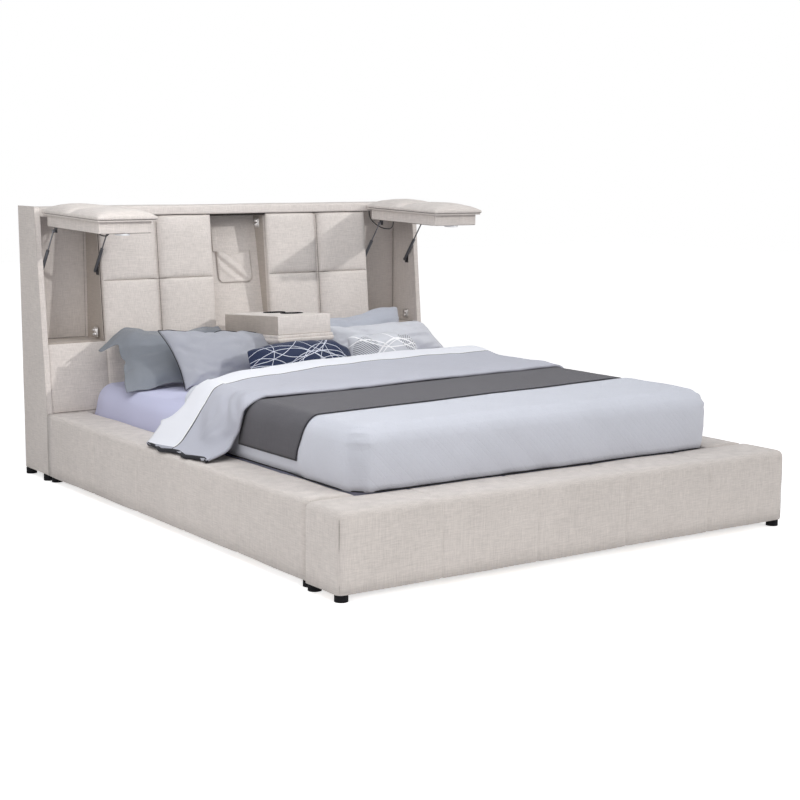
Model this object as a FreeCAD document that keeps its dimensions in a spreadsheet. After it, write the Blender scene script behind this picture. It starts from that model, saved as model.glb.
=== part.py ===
import FreeCAD, Part
import math
import os
import re
import Sketcher
from types import SimpleNamespace

# Storage bed with a padded platform, a leaning headboard with three bins, two lift-up
# flaps on gas struts and a fold-down armrest. Millimetres, X to the right seen from the
# foot, Y towards the headboard, Z up, origin on the floor at the middle of the bed.

document = FreeCAD.newDocument("PlatformBed")
sheet = document.addObject("Spreadsheet::Sheet", "Sizes")

driving_sizes = [
    ("bed_length", 2480, "footboard front to headboard back"),
    ("footboard_width", 1930, "across the footboard"),
    ("headboard_width", 1900, "across the wings and the side rails"),
    ("headboard_height", 1118, "floor to the top of the headboard"),
    ("lean", 5.5, "degrees that the headboard front leans back"),
    ("foot_height", 25, "floor to the underside of the platform"),
    ("foot_radius", 22, "round foot"),
    ("foot_inset", 27, "centre of a foot from the outer face above it"),
    ("side_top", 280, "floor to the top of the padded sides"),
    ("footboard_depth", 206, "front to back of the footboard"),
    ("rail_width", 180, "across a side rail"),
    ("padding", 16, "foam and fabric on the platform frames"),
    ("frame_board", 18, "boards of the platform frames"),
    ("edge_round", 24, "rounding of the footboard's padded edges"),
    ("rail_round", 18, "rounding of the rails' padded edges"),
    ("headboard_depth", 239, "headboard back to the front of its low board"),
    ("mattress_side", 8, "mattress to a side rail"),
    ("mattress_height", 169.5, "mattress thickness"),
    ("mattress_gap", 1.5, "mattress to the boards at its two ends"),
    ("mattress_round", 34, "rounding of the mattress edges"),
    ("slat_top", 225, "floor to the top of the slats"),
    ("slat_thickness", 13, "slat"),
    ("slat_width", 70, "slat"),
    ("slat_pitch", 150, "slat to slat"),
    ("ledge_width", 25, "ledge that carries the slat ends"),
    ("ledge_height", 25, "ledge that carries the slat ends"),
    ("beam_width", 40, "middle beam under the slats"),
    ("beam_height", 45, "middle beam under the slats"),
    ("leg_width", 38, "square leg under the middle beam"),
    ("leg_pitch", 640, "leg to leg"),
    ("slack", 0.5, "gap beside a soft or a loose piece"),
    ("bracket_plate", 3, "corner bracket steel"),
    ("bracket_leg", 60, "leg of a corner bracket"),
    ("bracket_height", 110, "height of a corner bracket"),
    ("bracket_base", 50, "floor to the underside of a corner bracket"),
    ("bolt_radius", 4, "corner bolt shank"),
    ("bolt_head_radius", 8, "corner bolt head"),
    ("bolt_head", 4, "thickness of a bolt head"),
    ("bolt_length", 22, "bolt shank"),
    ("bolt_pitch", 60, "bolt to bolt in a bracket"),
    ("wing_thickness", 28, "padded side wing of the headboard"),
    ("back_board", 14, "board behind the headboard"),
    ("cap_height", 38, "top cap over the bins"),
    ("base_board", 20, "low board that the rails bolt to"),
    ("divider_board", 16, "upright between two bins"),
    ("side_bin", 261, "across a side bin"),
    ("square_width", 261, "across the outer column of squares"),
    ("centre_column", 140, "middle of the bed to the side of the middle bin"),
    ("bin_floor_top", 562, "floor to the top of the bin floors"),
    ("bin_floor_board", 16, "bin floor"),
    ("lower_pad", 24, "padded panel under a bin"),
    ("lower_recess", 8, "panel under a bin behind the headboard face"),
    ("panel_board", 12, "board behind the square cushions"),
    ("panel_depth", 30, "headboard face to the board behind the squares"),
    ("panel_seam", 20, "foam of the square cushions at their seams"),
    ("panel_crown", 16, "rise of a square over its seams"),
    ("panel_gap", 2, "square cushions to the cap and the bins"),
    ("square_seam", 812, "floor to the level seam of the squares"),
    ("centre_back_slope", 10.9, "degrees that the middle bin's back leans"),
    ("centre_back_depth", 76, "headboard face to that back, at its lower edge"),
    ("centre_back_board", 12, "thickness of that back"),
    ("centre_back_lift", 2.3, "front edge of that back above the bin floor"),
    ("pocket_width", 170, "patch pocket"),
    ("pocket_height", 140, "patch pocket"),
    ("pocket_offset", 15, "pocket centre to the right of the middle"),
    ("pocket_rise", 213, "lower edge of the bin back to the pocket"),
    ("pocket_cloth", 2, "pocket cloth and its hem"),
    ("pocket_depth", 12, "room inside the pocket"),
    ("hinge_stand", 3.4, "hinge line in front of the headboard face"),
    ("closed_gap", 2.2, "headboard face to the board of a closed flap"),
    ("pin_radius", 1.6, "hinge pin"),
    ("pin_clearance", 0.05, "round the hinge pin"),
    ("knuckle_radius", 2.9, "hinge knuckle"),
    ("knuckle_gap", 0.6, "knuckle to knuckle"),
    ("leaf_thickness", 1.5, "hinge leaf"),
    ("leaf_width", 16, "hinge leaf"),
    ("hinge_length", 190, "hinge along its pin"),
    ("flap_hinge_drop", 28, "top of the headboard down to the flap hinge line"),
    ("flap_droop", 1.3, "degrees that an open flap falls to its tip"),
    ("flap_offset", 130, "wing to the middle of a flap"),
    ("flap_lap", 14, "tip of a closed flap below the bin floor"),
    ("flap_width", 252, "flap board"),
    ("flap_board", 12, "flap and armrest boards"),
    ("flap_start", 4, "hinge line to the near edge of the boards"),
    ("box_width", 216, "frame under the flap that fills the bin mouth"),
    ("box_depth", 46, "thickness of that frame"),
    ("box_start", 24, "hinge line to the near end of that frame"),
    ("box_gap", 4, "that frame, closed, above the bin floor"),
    ("box_wall", 16, "boards of that frame"),
    ("flap_pad", 17, "flap cushion at its seams"),
    ("flap_crown", 22, "rise of a flap square over its seams"),
    ("flap_seam", 254, "hinge line to the cross seam of the cushion"),
    ("pad_overhang", 4, "cushion past the tip of its board"),
    ("light_radius", 30, "round lamp under the flap"),
    ("light_height", 8, "round lamp"),
    ("light_wall", 4, "lamp ring round its lens"),
    ("light_back", 2, "lamp above its lens"),
    ("light_inset", 0.6, "lens in its ring"),
    ("light_end", 32, "lamp centre to the far end of the frame"),
    ("armrest_hinge_height", 568, "floor to the armrest hinge line"),
    ("armrest_rise", 3.4, "degrees that the open armrest rises to its tip"),
    ("armrest_width", 256, "armrest box"),
    ("armrest_depth", 80, "armrest box"),
    ("armrest_start", 43, "hinge line to the near end of the box"),
    ("armrest_gap", 14, "box, closed, below the cap"),
    ("armrest_wall", 14, "boards of the armrest box"),
    ("armrest_board_width", 268, "board under the armrest box"),
    ("armrest_board_gap", 8, "tip of that board, closed, below the cap"),
    ("armrest_seam", 244, "hinge line to the cross seam of the cushion"),
    ("cup_radius", 41, "inside of a cup holder"),
    ("cup_wall", 1.5, "cup holder"),
    ("cup_depth", 56, "cup holder"),
    ("cup_rim", 3, "cup holder rim on the armrest"),
    ("cup_rim_height", 1, "cup holder rim"),
    ("cup_offset", 36, "cup holders to the right of the armrest's middle"),
    ("cup_first", 190, "hinge line to the first cup holder"),
    ("cup_second", 335, "hinge line to the second cup holder"),
    ("strut_radius", 7, "gas strut cylinder"),
    ("strut_wall", 1, "gas strut cylinder"),
    ("strut_cap", 4, "end walls of the cylinder"),
    ("strut_neck", 3.4, "radius of the neck between a strut and its end fitting"),
    ("strut_top", 121, "strut pivot to the top of the cylinder"),
    ("strut_start", 9, "strut pivot to the foot of the cylinder"),
    ("rod_radius", 3, "strut rod"),
    ("rod_clearance", 0.05, "round the strut rod"),
    ("piston_height", 8, "piston in the cylinder"),
    ("piston_clearance", 0.1, "round the piston"),
    ("piston_stop", 1, "piston below the end wall of an extended strut"),
    ("eye_radius", 7, "end fitting of a strut"),
    ("eye_width", 8, "end fitting of a strut"),
    ("stud_radius", 3, "stud that a strut end sits on"),
    ("stud_clearance", 0.05, "round the stud"),
    ("stud_plate", 2, "plate that carries a stud"),
    ("stud_plate_width", 26, "plate that carries a stud"),
    ("stud_plate_height", 34, "plate that carries a stud"),
    ("strut_foot_drop", 268, "top of the headboard down to the lower strut pivot"),
    ("strut_foot_depth", 56, "headboard face to the lower strut pivot"),
    ("strut_reach", 103, "hinge line to the upper strut pivot, along the flap"),
    ("strut_drop", 61, "hinge line to the upper strut pivot, below the flap"),
    ("pivot_gap", 0.4, "upper stud to the strut's end fitting"),
    ("catch_height", 590, "floor to the side catches"),
    ("catch_depth", 85, "headboard face to the side catches"),
    ("top_catch_drop", 84, "top of the headboard down to the middle catches"),
    ("top_catch_gap", 28, "middle catches in front of the middle bin's back"),
    ("catch_plate", 1.5, "catch plate"),
    ("catch_width", 40, "catch plate"),
    ("catch_tall", 42, "catch plate"),
    ("roller_radius", 6.5, "catch roller"),
    ("roller_length", 16, "catch roller"),
    ("roller_offset", 9, "catch roller off the middle of its plate"),
    ("cable_radius", 2.5, "lamp cable"),
    ("cable_offset", 92, "lamp cable to the inner side of the flap's middle"),
    ("cable_start", 25, "flap hinge line back to the cable's clip under the cap"),
    ("cable_reach", 175, "flap hinge line forward to the cable's end on the flap frame"),
    ("cable_gap", 0.15, "cable ends to the boards they are clipped to"),
    ("cable_sag", 101.6, "underside of the cap to the lowest part of the cable"),
    ("duvet_side", 13, "duvet beside the mattress"),
    ("duvet_top", 488, "floor to the top of the duvet"),
    ("duvet_foot", 12.5, "duvet in front of the mattress"),
    ("duvet_clearance", 1, "duvet above the padded sides"),
    ("duvet_round", 60, "rounding of the duvet's edges"),
    ("duvet_head", 756, "headboard face to the duvet's head edge"),
    ("duvet_slant", 274, "how much further back that edge is at the right than at the left"),
    ("fold_thickness", 12, "turned-back part of the duvet"),
    ("fold_slant", 140, "how much further back its foot edge is at the right than at the left"),
    ("fold_foot", 1300, "headboard face to its foot edge"),
    ("fold_left", 906, "headboard face to its head edge, at the left side"),
    ("fold_middle", 656, "headboard face to its head edge, near the middle"),
    ("fold_right", 601, "headboard face to its head edge, from the right quarter on"),
    ("fold_bend", 100, "middle of the bed to the left bend of its head edge"),
    ("fold_quarter", 470, "middle of the bed to the right bend of its head edge"),
    ("fold_spill", 168, "turned-back part lying on the left side rail"),
    ("spill_gap", 64, "foot edge of the turned-back part to its foot end on the side rail"),
    ("hang_height", 332, "floor to the hems that hang at the sides"),
    ("runner_thickness", 4, "blanket across the foot of the bed"),
    ("runner_width", 368, "blanket across the foot of the bed"),
    ("runner_gap", 6, "blanket to the turned-back part"),
    ("sham_inside", 140, "middle of the bed to the inner side of a back pillow"),
    ("sham_outside", 22, "side of the mattress to its outer side, at its lower edge"),
    ("sham_corner", 146, "side of the mattress to its outer side, at its upper edge"),
    ("sham_left_low_edge", 361, "headboard face to the left back pillow's lower edge"),
    ("sham_right_low_edge", 221, "headboard face to the right back pillow's lower edge"),
    ("sham_low_height", 395.3, "floor to the lower edge of a back pillow"),
    ("sham_left_edge", 11, "headboard face to the left back pillow's upper edge"),
    ("sham_right_edge", 116, "headboard face to the right back pillow's upper edge"),
    ("sham_high_height", 640, "floor to the upper edge of a back pillow"),
    ("sham_thickness", 100, "back pillow"),
    ("pillow_left_low_side", 222, "side of the mattress to the left pillow's lower left corner"),
    ("pillow_left_high_side", 190, "side of the mattress to its upper left corner"),
    ("pillow_left_inside", 20, "middle of the bed to its right corners"),
    ("pillow_left_low_outer", 456, "headboard face to its lower left corner"),
    ("pillow_left_high_outer", 279, "headboard face to its upper left corner"),
    ("pillow_left_low_inner", 456, "headboard face to its lower right corner"),
    ("pillow_left_high_inner", 301, "headboard face to its upper right corner"),
    ("pillow_left_outer_height", 630, "floor to its upper left corner"),
    ("pillow_left_inner_height", 520, "floor to its upper right corner"),
    ("pillow_low_height", 395.8, "floor to the lower edge of the pillows and cushions in front"),
    ("pillow_thickness", 90, "pillow"),
    ("pillow_right_inside", 240, "middle of the bed to the right pillow's left side"),
    ("pillow_right_outside", 17, "side of the mattress to its right side"),
    ("pillow_right_low_edge", 336, "headboard face to its lower edge"),
    ("pillow_right_high_edge", 256, "headboard face to its upper edge"),
    ("pillow_right_high_height", 600, "floor to its upper edge"),
    ("navy_start", 305, "middle of the bed to the dark cushion's left side"),
    ("navy_width", 500, "dark cushion"),
    ("navy_low_edge", 571, "headboard face to its lower edge"),
    ("navy_high_edge", 511, "headboard face to its upper edge"),
    ("navy_high_height", 575, "floor to its upper edge"),
    ("navy_thickness", 90, "small cushions"),
    ("pattern_start", 235, "middle of the bed to the patterned cushion's left side"),
    ("pattern_width", 365, "patterned cushion"),
    ("pattern_low_edge", 481, "headboard face to its lower edge"),
    ("pattern_high_edge", 426, "headboard face to its upper edge"),
    ("pattern_high_height", 572, "floor to its upper edge"),
]

for row, (name, number, meaning) in enumerate(driving_sizes, start=1):
    sheet.set(f"A{row}", name)
    sheet.set(f"B{row}", str(number))
    sheet.set(f"C{row}", meaning)
    sheet.setAlias(f"B{row}", name)
document.recompute()
s = SimpleNamespace(**{name: float(getattr(sheet, name)) for name, number, meaning in driving_sizes})

x_axis = FreeCAD.Vector(1, 0, 0)
y_axis = FreeCAD.Vector(0, 1, 0)
z_axis = FreeCAD.Vector(0, 0, 1)
nodes = []

# Places worked out from the driving sizes.
foot_y = -s.bed_length / 2
head_y = s.bed_length / 2
rail_outer = s.headboard_width / 2
rail_inner = rail_outer - s.rail_width
wing_inner = rail_outer - s.wing_thickness
footboard_back = foot_y + s.footboard_depth
mattress_y = footboard_back + s.mattress_gap
face_y = head_y - s.headboard_depth
mattress_length = face_y - mattress_y - s.mattress_gap
mattress_half = rail_inner - s.mattress_side
outer_column = wing_inner - s.side_bin
mid_column = outer_column - s.square_width
flap_centre = wing_inner - s.flap_offset
lean = math.radians(s.lean)
cap_base = s.headboard_height - s.cap_height


def face_at(height):
    """Y of the leaning headboard face at a height above the floor."""
    return face_y + (height - s.side_top) * math.tan(lean)


def along(y, z, turn, local_y, local_z):
    """Y and Z of a point of a frame that is turned about X at y, z."""
    angle = math.radians(turn)
    return (
        y + local_y * math.cos(angle) - local_z * math.sin(angle),
        z + local_y * math.sin(angle) + local_z * math.cos(angle),
    )


def rise_to(height):
    """Length along the headboard face from the platform top to a height."""
    return (height - s.side_top) / math.cos(lean)


def name_in_sheet(word):
    """Spreadsheet reference for a size, or the word itself for a function."""
    return "Sizes." + word.group() if hasattr(s, word.group()) else word.group()


def bind(item, name, size):
    """Bind a property to an expression in the names of the sizes, or set a worked-out length."""
    if isinstance(size, str):
        item.setExpression(name, re.sub(r"[a-z_]+", name_in_sheet, size))
    else:
        setattr(item, name, size)


def keep(item, name):
    """Name a finished sub-part."""
    item.Label = name
    nodes.append(item)
    return item


def block(name, length, width, height, place, turn=0.0):
    """Box with its sizes bound to the sheet, turned about X at its corner."""
    item = document.addObject("Part::Box", name)
    bind(item, "Length", length)
    bind(item, "Width", width)
    bind(item, "Height", height)
    item.Placement = FreeCAD.Placement(FreeCAD.Vector(*place), FreeCAD.Rotation(x_axis, turn))
    return item


def rod(name, radius, height, place, direction, turn=0.0):
    """Cylinder along a direction, then turned about X."""
    item = document.addObject("Part::Cylinder", name)
    bind(item, "Radius", radius)
    bind(item, "Height", height)
    spin = FreeCAD.Rotation(x_axis, turn).multiply(FreeCAD.Rotation(z_axis, direction))
    item.Placement = FreeCAD.Placement(FreeCAD.Vector(*place), spin)
    return item


def cut(name, base, tool):
    item = document.addObject("Part::Cut", name)
    item.Base = base
    item.Tool = tool
    return item


def fuse(name, items):
    item = document.addObject("Part::MultiFuse", name)
    item.Shapes = items
    item.Refine = True
    return item


def group(name, items):
    item = document.addObject("Part::Compound", name)
    item.Links = items
    return item


def form(name, shape):
    """Part whose shape is made from the sizes in code."""
    item = document.addObject("Part::Feature", name)
    item.Shape = shape
    item.Placement = FreeCAD.Placement()
    return item


def side_profile(name, points, thickness, left):
    """Board with a side outline: points are (back from the footboard front, up)."""
    body = document.addObject("PartDesign::Body", name)
    plane = next(f for f in body.Origin.OriginFeatures if f.Role == "YZ_Plane")
    sketch = body.newObject("Sketcher::SketchObject", name + "_outline")
    sketch.AttachmentSupport = (plane, [""])
    sketch.MapMode = "FlatFace"
    corners = [FreeCAD.Vector(*place, 0) for text, place in points]
    for start, end in zip(corners, corners[1:] + corners[:1]):
        sketch.addGeometry(Part.LineSegment(start, end), False)
    count = len(points)
    for index in range(count):
        sketch.addConstraint(Sketcher.Constraint("Coincident", index, 2, (index + 1) % count, 1))
    for index, ((across, up), (y, z)) in enumerate(points):
        for kind, text, number in (("DistanceX", across, y), ("DistanceY", up, z)):
            spot = sketch.addConstraint(Sketcher.Constraint(kind, -1, 1, index, 1, number))
            bind(sketch, f"Constraints[{spot}]", text)
    pad = body.newObject("PartDesign::Pad", name + "_board")
    pad.Profile = sketch
    bind(pad, "Length", thickness)
    body.Placement = FreeCAD.Placement(FreeCAD.Vector(left, foot_y, 0), FreeCAD.Rotation())
    return body


def padded_cover(name, length, width, height, place, rounded, radius, room, room_place):
    """Padded shell, open below, with the chosen edges rounded."""
    body = document.addObject("PartDesign::Body", name)
    body.Placement = FreeCAD.Placement(FreeCAD.Vector(*place), FreeCAD.Rotation())
    solid = body.newObject("PartDesign::AdditiveBox", name + "_form")
    for side, text in zip(("Length", "Width", "Height"), (length, width, height)):
        bind(solid, side, text)
    document.recompute()
    edges = [f"Edge{i}" for i, edge in enumerate(solid.Shape.Edges, 1) if rounded(edge)]
    fillet = body.newObject("PartDesign::Fillet", name + "_edges")
    fillet.Base = (solid, edges)
    bind(fillet, "Radius", radius)
    document.recompute()
    hollow = body.newObject("PartDesign::SubtractiveBox", name + "_room")
    for side, text in zip(("Length", "Width", "Height"), room):
        bind(hollow, side, text)
    hollow.Placement = FreeCAD.Placement(FreeCAD.Vector(*room_place), FreeCAD.Rotation())
    body.Tip = hollow
    return body


def above_base(edge):
    """True for every edge of a cover except those round its open underside."""
    return edge.BoundBox.ZMax > edge.BoundBox.ZMin or edge.CenterOfMass.z > 0


def long_top(edge):
    """True for the top edges that run along the bed."""
    return edge.CenterOfMass.z > 0 and edge.BoundBox.YLength > edge.BoundBox.XLength + edge.BoundBox.ZLength


# Footboard: an open-bottomed box of boards under a padded cover.
frame_height = "side_top - foot_height - padding"
footboard_cover = padded_cover(
    "footboard_cover",
    "footboard_width", "footboard_depth", "side_top - foot_height",
    (-s.footboard_width / 2, foot_y, s.foot_height),
    above_base, "edge_round",
    ("footboard_width - 2 * padding", "footboard_depth - 2 * padding", frame_height),
    (s.padding, s.padding, 0),
)
keep(footboard_cover, "footboard_cover")
footboard_frame = cut(
    "footboard_frame",
    block(
        "footboard_boards",
        "footboard_width - 2 * padding", "footboard_depth - 2 * padding", frame_height,
        (s.padding - s.footboard_width / 2, foot_y + s.padding, s.foot_height),
    ),
    block(
        "footboard_room",
        "footboard_width - 2 * (padding + frame_board)",
        "footboard_depth - 2 * (padding + frame_board)",
        frame_height + " - frame_board",
        (
            s.padding + s.frame_board - s.footboard_width / 2,
            foot_y + s.padding + s.frame_board,
            s.foot_height,
        ),
    ),
)
keep(footboard_frame, "footboard_frame")

# Side rails: the same build, butted between the footboard and the headboard.
rail_length = "bed_length - footboard_depth - headboard_depth"
rail_frames = []
for side, left in (("left", -rail_outer), ("right", rail_inner)):
    rail_cover = padded_cover(
        "rail_cover_" + side,
        "rail_width", rail_length, "side_top - foot_height",
        (left, footboard_back, s.foot_height),
        long_top, "rail_round",
        ("rail_width - 2 * padding", rail_length, frame_height),
        (s.padding, 0, 0),
    )
    keep(rail_cover, "rail_cover_" + side)
    rail_frames.append(cut(
        "rail_frame_" + side,
        block(
            "rail_boards_" + side,
            "rail_width - 2 * padding", rail_length, frame_height,
            (left + s.padding, footboard_back, s.foot_height),
        ),
        block(
            "rail_room_" + side,
            "rail_width - 2 * (padding + frame_board)", rail_length, frame_height + " - frame_board",
            (left + s.padding + s.frame_board, footboard_back, s.foot_height),
        ),
    ))
keep(group("rail_frames", rail_frames), "rail_frames")

# Slats on ledges and a middle beam with legs to the floor.
slat_base = s.slat_top - s.slat_thickness
ledges = [
    block(
        f"ledge_{side}", "ledge_width", rail_length, "ledge_height",
        (left, footboard_back, slat_base - s.ledge_height),
    )
    for side, left in (("left", -rail_inner), ("right", rail_inner - s.ledge_width))
]
keep(group("slat_ledges", ledges), "slat_ledges")
slat_count = int((mattress_length - s.slat_width) // s.slat_pitch) + 1
middle_y = mattress_y + mattress_length / 2
first_slat = middle_y - (slat_count - 1) * s.slat_pitch / 2 - s.slat_width / 2
slats = [
    block(
        f"slat_{index + 1}", "headboard_width - 2 * (rail_width + slack)", "slat_width", "slat_thickness",
        (s.slack - rail_inner, first_slat + index * s.slat_pitch, slat_base),
    )
    for index in range(slat_count)
]
keep(group("slats", slats), "slats")
beam = block(
    "beam", "beam_width", rail_length, "beam_height",
    (-s.beam_width / 2, footboard_back, slat_base - s.beam_height),
)
legs = [
    block(
        f"leg_{word}", "leg_width", "leg_width", "slat_top - slat_thickness - beam_height",
        (-s.leg_width / 2, middle_y + hand * s.leg_pitch - s.leg_width / 2, 0),
    )
    for hand, word in ((-1, "foot"), (0, "middle"), (1, "head"))
]
keep(group("centre_support", [beam] + legs), "centre_support")

# Corner brackets with two bolts in each leg.
brackets = []
bolts = []


def bolt(name, place, direction):
    """Bolt with its head at place and its shank along the direction."""
    head = rod(name + "_head", "bolt_head_radius", "bolt_head", place, -direction)
    shank = rod(name + "_shank", "bolt_radius", "bolt_length", place, direction)
    bolts.append(fuse(name, [head, shank]))
    return rod(name + "_hole", "bolt_radius", "bolt_length", place, direction)


for index, (hand, y, inward) in enumerate(
    ((-1, footboard_back, 1), (1, footboard_back, 1), (-1, face_y, -1), (1, face_y, -1)), start=1
):
    inner_x = hand * rail_inner
    rail_leg = block(
        f"rail_leg_{index}", "bracket_plate", "bracket_leg", "bracket_height",
        (
            min(inner_x, inner_x - hand * s.bracket_plate),
            min(y, y + inward * s.bracket_leg),
            s.bracket_base,
        ),
    )
    end_leg = block(
        f"end_leg_{index}", "bracket_leg", "bracket_plate", "bracket_height",
        (
            min(inner_x, inner_x - hand * s.bracket_leg),
            min(y, y + inward * s.bracket_plate),
            s.bracket_base,
        ),
    )
    holes = []
    for level in (-1, 1):
        z = s.bracket_base + s.bracket_height / 2 + level * s.bolt_pitch / 2
        mid_leg = (s.bracket_leg + s.bracket_plate) / 2
        word = "low" if level < 0 else "high"
        holes.append(bolt(
            f"rail_bolt_{index}_{word}",
            (inner_x - hand * s.bracket_plate, y + inward * mid_leg, z),
            x_axis * hand,
        ))
        holes.append(bolt(
            f"end_bolt_{index}_{word}",
            (inner_x - hand * mid_leg, y + inward * s.bracket_plate, z),
            y_axis * -inward,
        ))
    plate = fuse(f"bracket_plate_{index}", [rail_leg, end_leg])
    brackets.append(cut(f"bracket_{index}", plate, fuse(f"bracket_holes_{index}", holes)))
keep(group("rail_brackets", brackets), "rail_brackets")
keep(group("bolts", bolts), "bolts")

# Twelve round feet under the frames.
footboard_feet = s.footboard_width / 2 - s.foot_inset
rail_feet = rail_outer - s.foot_inset
foot_places = [
    (footboard_feet, foot_y + s.foot_inset),
    (footboard_feet, footboard_back - s.foot_inset),
    (rail_feet, footboard_back + s.foot_inset),
    (rail_feet, face_y - s.foot_inset),
    (rail_outer - s.wing_thickness / 2, face_y + s.foot_inset),
    (rail_outer - s.wing_thickness / 2, head_y - s.foot_inset),
]
feet = [
    rod(f"foot_{index}_{word}", "foot_radius", "foot_height", (hand * x, y, 0), z_axis)
    for index, (x, y) in enumerate(foot_places, start=1)
    for hand, word in ((-1, "left"), (1, "right"))
]
keep(group("feet", feet), "feet")

# Headboard case: wings, back, low board, top cap and four uprights.
to_face = "bed_length - headboard_depth"
face_place = face_y - foot_y


def face_corner(height_name, depth_text="0", depth=0.0):
    """Outline corner on the leaning face, or behind it, at a named height."""
    height = getattr(s, height_name) if hasattr(s, height_name) else cap_base
    text = height_name if hasattr(s, height_name) else "(headboard_height - cap_height)"
    across = f"{to_face} + ({text} - side_top) * tan(lean) + ({depth_text}) / cos(lean)"
    place = (face_at(height) - foot_y + depth / math.cos(lean), height)
    return ((across, text), place)


def back_corner(text, height, board_text="0", board=0.0):
    """Outline corner at the back of the headboard."""
    return ((f"bed_length - {board_text}", text), (s.bed_length - board, height))


cap_text = "headboard_height - cap_height"
for side, left in (("left", -rail_outer), ("right", wing_inner)):
    wing = side_profile(
        "wing_" + side,
        [
            ((to_face, "foot_height"), (face_place, s.foot_height)),
            back_corner("foot_height", s.foot_height),
            back_corner("headboard_height", s.headboard_height),
            face_corner("headboard_height"),
            face_corner("side_top"),
        ],
        "wing_thickness", left,
    )
    keep(wing, "wing_" + side)
top_cap = side_profile(
    "top_cap",
    [
        face_corner("cap_base"),
        back_corner(cap_text, cap_base),
        back_corner("headboard_height", s.headboard_height),
        face_corner("headboard_height"),
    ],
    "headboard_width - 2 * wing_thickness", -wing_inner,
)
keep(top_cap, "top_cap")
keep(block(
    "back_panel", "headboard_width - 2 * wing_thickness", "back_board", cap_text + " - foot_height",
    (-wing_inner, head_y - s.back_board, s.foot_height),
), "back_panel")
keep(block(
    "headboard_base", "headboard_width - 2 * wing_thickness", "base_board",
    "side_top - foot_height - panel_depth * sin(lean)",
    (-wing_inner, face_y, s.foot_height),
), "headboard_base")
behind_text = "panel_depth + panel_board"
behind = s.panel_depth + s.panel_board
dividers = []
for word, left in (
    ("outer_left", -outer_column),
    ("inner_left", -s.centre_column - s.divider_board),
    ("inner_right", s.centre_column),
    ("outer_right", outer_column - s.divider_board),
):
    low_text = f"{to_face} + ({behind_text}) / cos(lean)"
    low_place = face_place + behind / math.cos(lean)
    dividers.append(side_profile(
        "divider_" + word,
        [
            ((low_text, "foot_height"), (low_place, s.foot_height)),
            back_corner("foot_height", s.foot_height, "back_board", s.back_board),
            back_corner(cap_text, cap_base, "back_board", s.back_board),
            face_corner("cap_base", behind_text, behind),
            face_corner("side_top", behind_text, behind),
        ],
        "divider_board", left,
    ))
keep(group("dividers", dividers), "dividers")

# Bin floors and the padded panels below them.
floor_front = face_at(s.bin_floor_top) + (s.lower_recess + s.lower_pad) / math.cos(lean) + s.slack
floors = []
pads = []
lower_rise = "(bin_floor_top - side_top) / cos(lean) - 2 * slack"
for word, left, width, recess in (
    ("left", -wing_inner, "side_bin", s.lower_recess),
    ("centre", -s.centre_column, "2 * centre_column", 0),
    ("right", outer_column, "side_bin", s.lower_recess),
):
    floors.append(block(
        "bin_floor_" + word, width, head_y - s.back_board - floor_front, "bin_floor_board",
        (left, floor_front, s.bin_floor_top - s.bin_floor_board),
    ))
    y, z = along(face_y, s.side_top, -s.lean, recess, s.slack)
    pads.append(block(
        "lower_pad_" + word, width + " - 2 * slack", "lower_pad", lower_rise,
        (left + s.slack, y, z), -s.lean,
    ))
keep(group("bin_floors", floors), "bin_floors")
keep(group("lower_panels", pads), "lower_panels")

# Boards behind the square cushions.
boards = []
column_text = "headboard_width / 2 - wing_thickness - side_bin - centre_column"
panel_rise = "(headboard_height - cap_height - side_top) / cos(lean) - panel_gap"
for word, left in (("left", -outer_column), ("right", s.centre_column)):
    y, z = along(face_y, s.side_top, -s.lean, s.panel_depth, 0)
    boards.append(block("panel_board_" + word, column_text, "panel_board", panel_rise, (left, y, z), -s.lean))
keep(group("panel_boards", boards), "panel_boards")

# Square cushions: each column and row of a cushion swells between its seams.
puff_shares = (0.0, 0.06, 0.2, 0.5, 0.8, 0.94)
swell_shares = (0.04, 0.4, 0.8, 1.0, 0.8, 0.4)
corner_share = 0.62


def tufted(name, columns, rows, seam, crown, place):
    """Cushion with its squares puffed between seams; place maps (x, up, out) to a point."""
    stations = []
    for low, high in zip(columns, columns[1:]):
        for share, swell in zip(puff_shares, swell_shares):
            stations.append((low + share * (high - low), swell))
    stations.append((columns[-1], swell_shares[0]))
    wires = []
    for x, swell in stations:
        edge = seam
        if x in (columns[0], columns[-1]):
            edge *= corner_share + (1 - corner_share) * min(1, 2 * swell)
        points = [place(x, rows[0], 0), place(x, rows[0], edge)]
        edges = [Part.LineSegment(*points).toShape()]
        for low, high in zip(rows, rows[1:]):
            top = place(x, (low + high) / 2, edge + crown * swell)
            ends = [place(x, low, edge), top, place(x, high, edge)]
            edges.append(Part.Arc(*ends).toShape())
        edges.append(Part.LineSegment(place(x, rows[-1], edge), place(x, rows[-1], 0)).toShape())
        edges.append(Part.LineSegment(place(x, rows[-1], 0), place(x, rows[0], 0)).toShape())
        wires.append(Part.Wire(edges))
    return form(name, Part.makeLoft(wires, True, True))


def on_face(depth):
    """Map from the headboard face: x, length up the face, height over a depth behind it."""
    def place(x, up, out):
        y, z = along(face_y, s.side_top, -s.lean, depth - out, up)
        return FreeCAD.Vector(x, y, z)
    return place


panel_rows = [0, rise_to(s.square_seam), rise_to(cap_base) - s.panel_gap]
for word, hand in (("left", -1), ("right", 1)):
    columns = sorted([hand * outer_column, hand * mid_column, hand * s.centre_column])
    cushion = tufted(
        "panel_cushion_" + word, columns, panel_rows, s.panel_seam, s.panel_crown, on_face(s.panel_depth)
    )
    keep(cushion, "panel_cushion_" + word)

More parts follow.
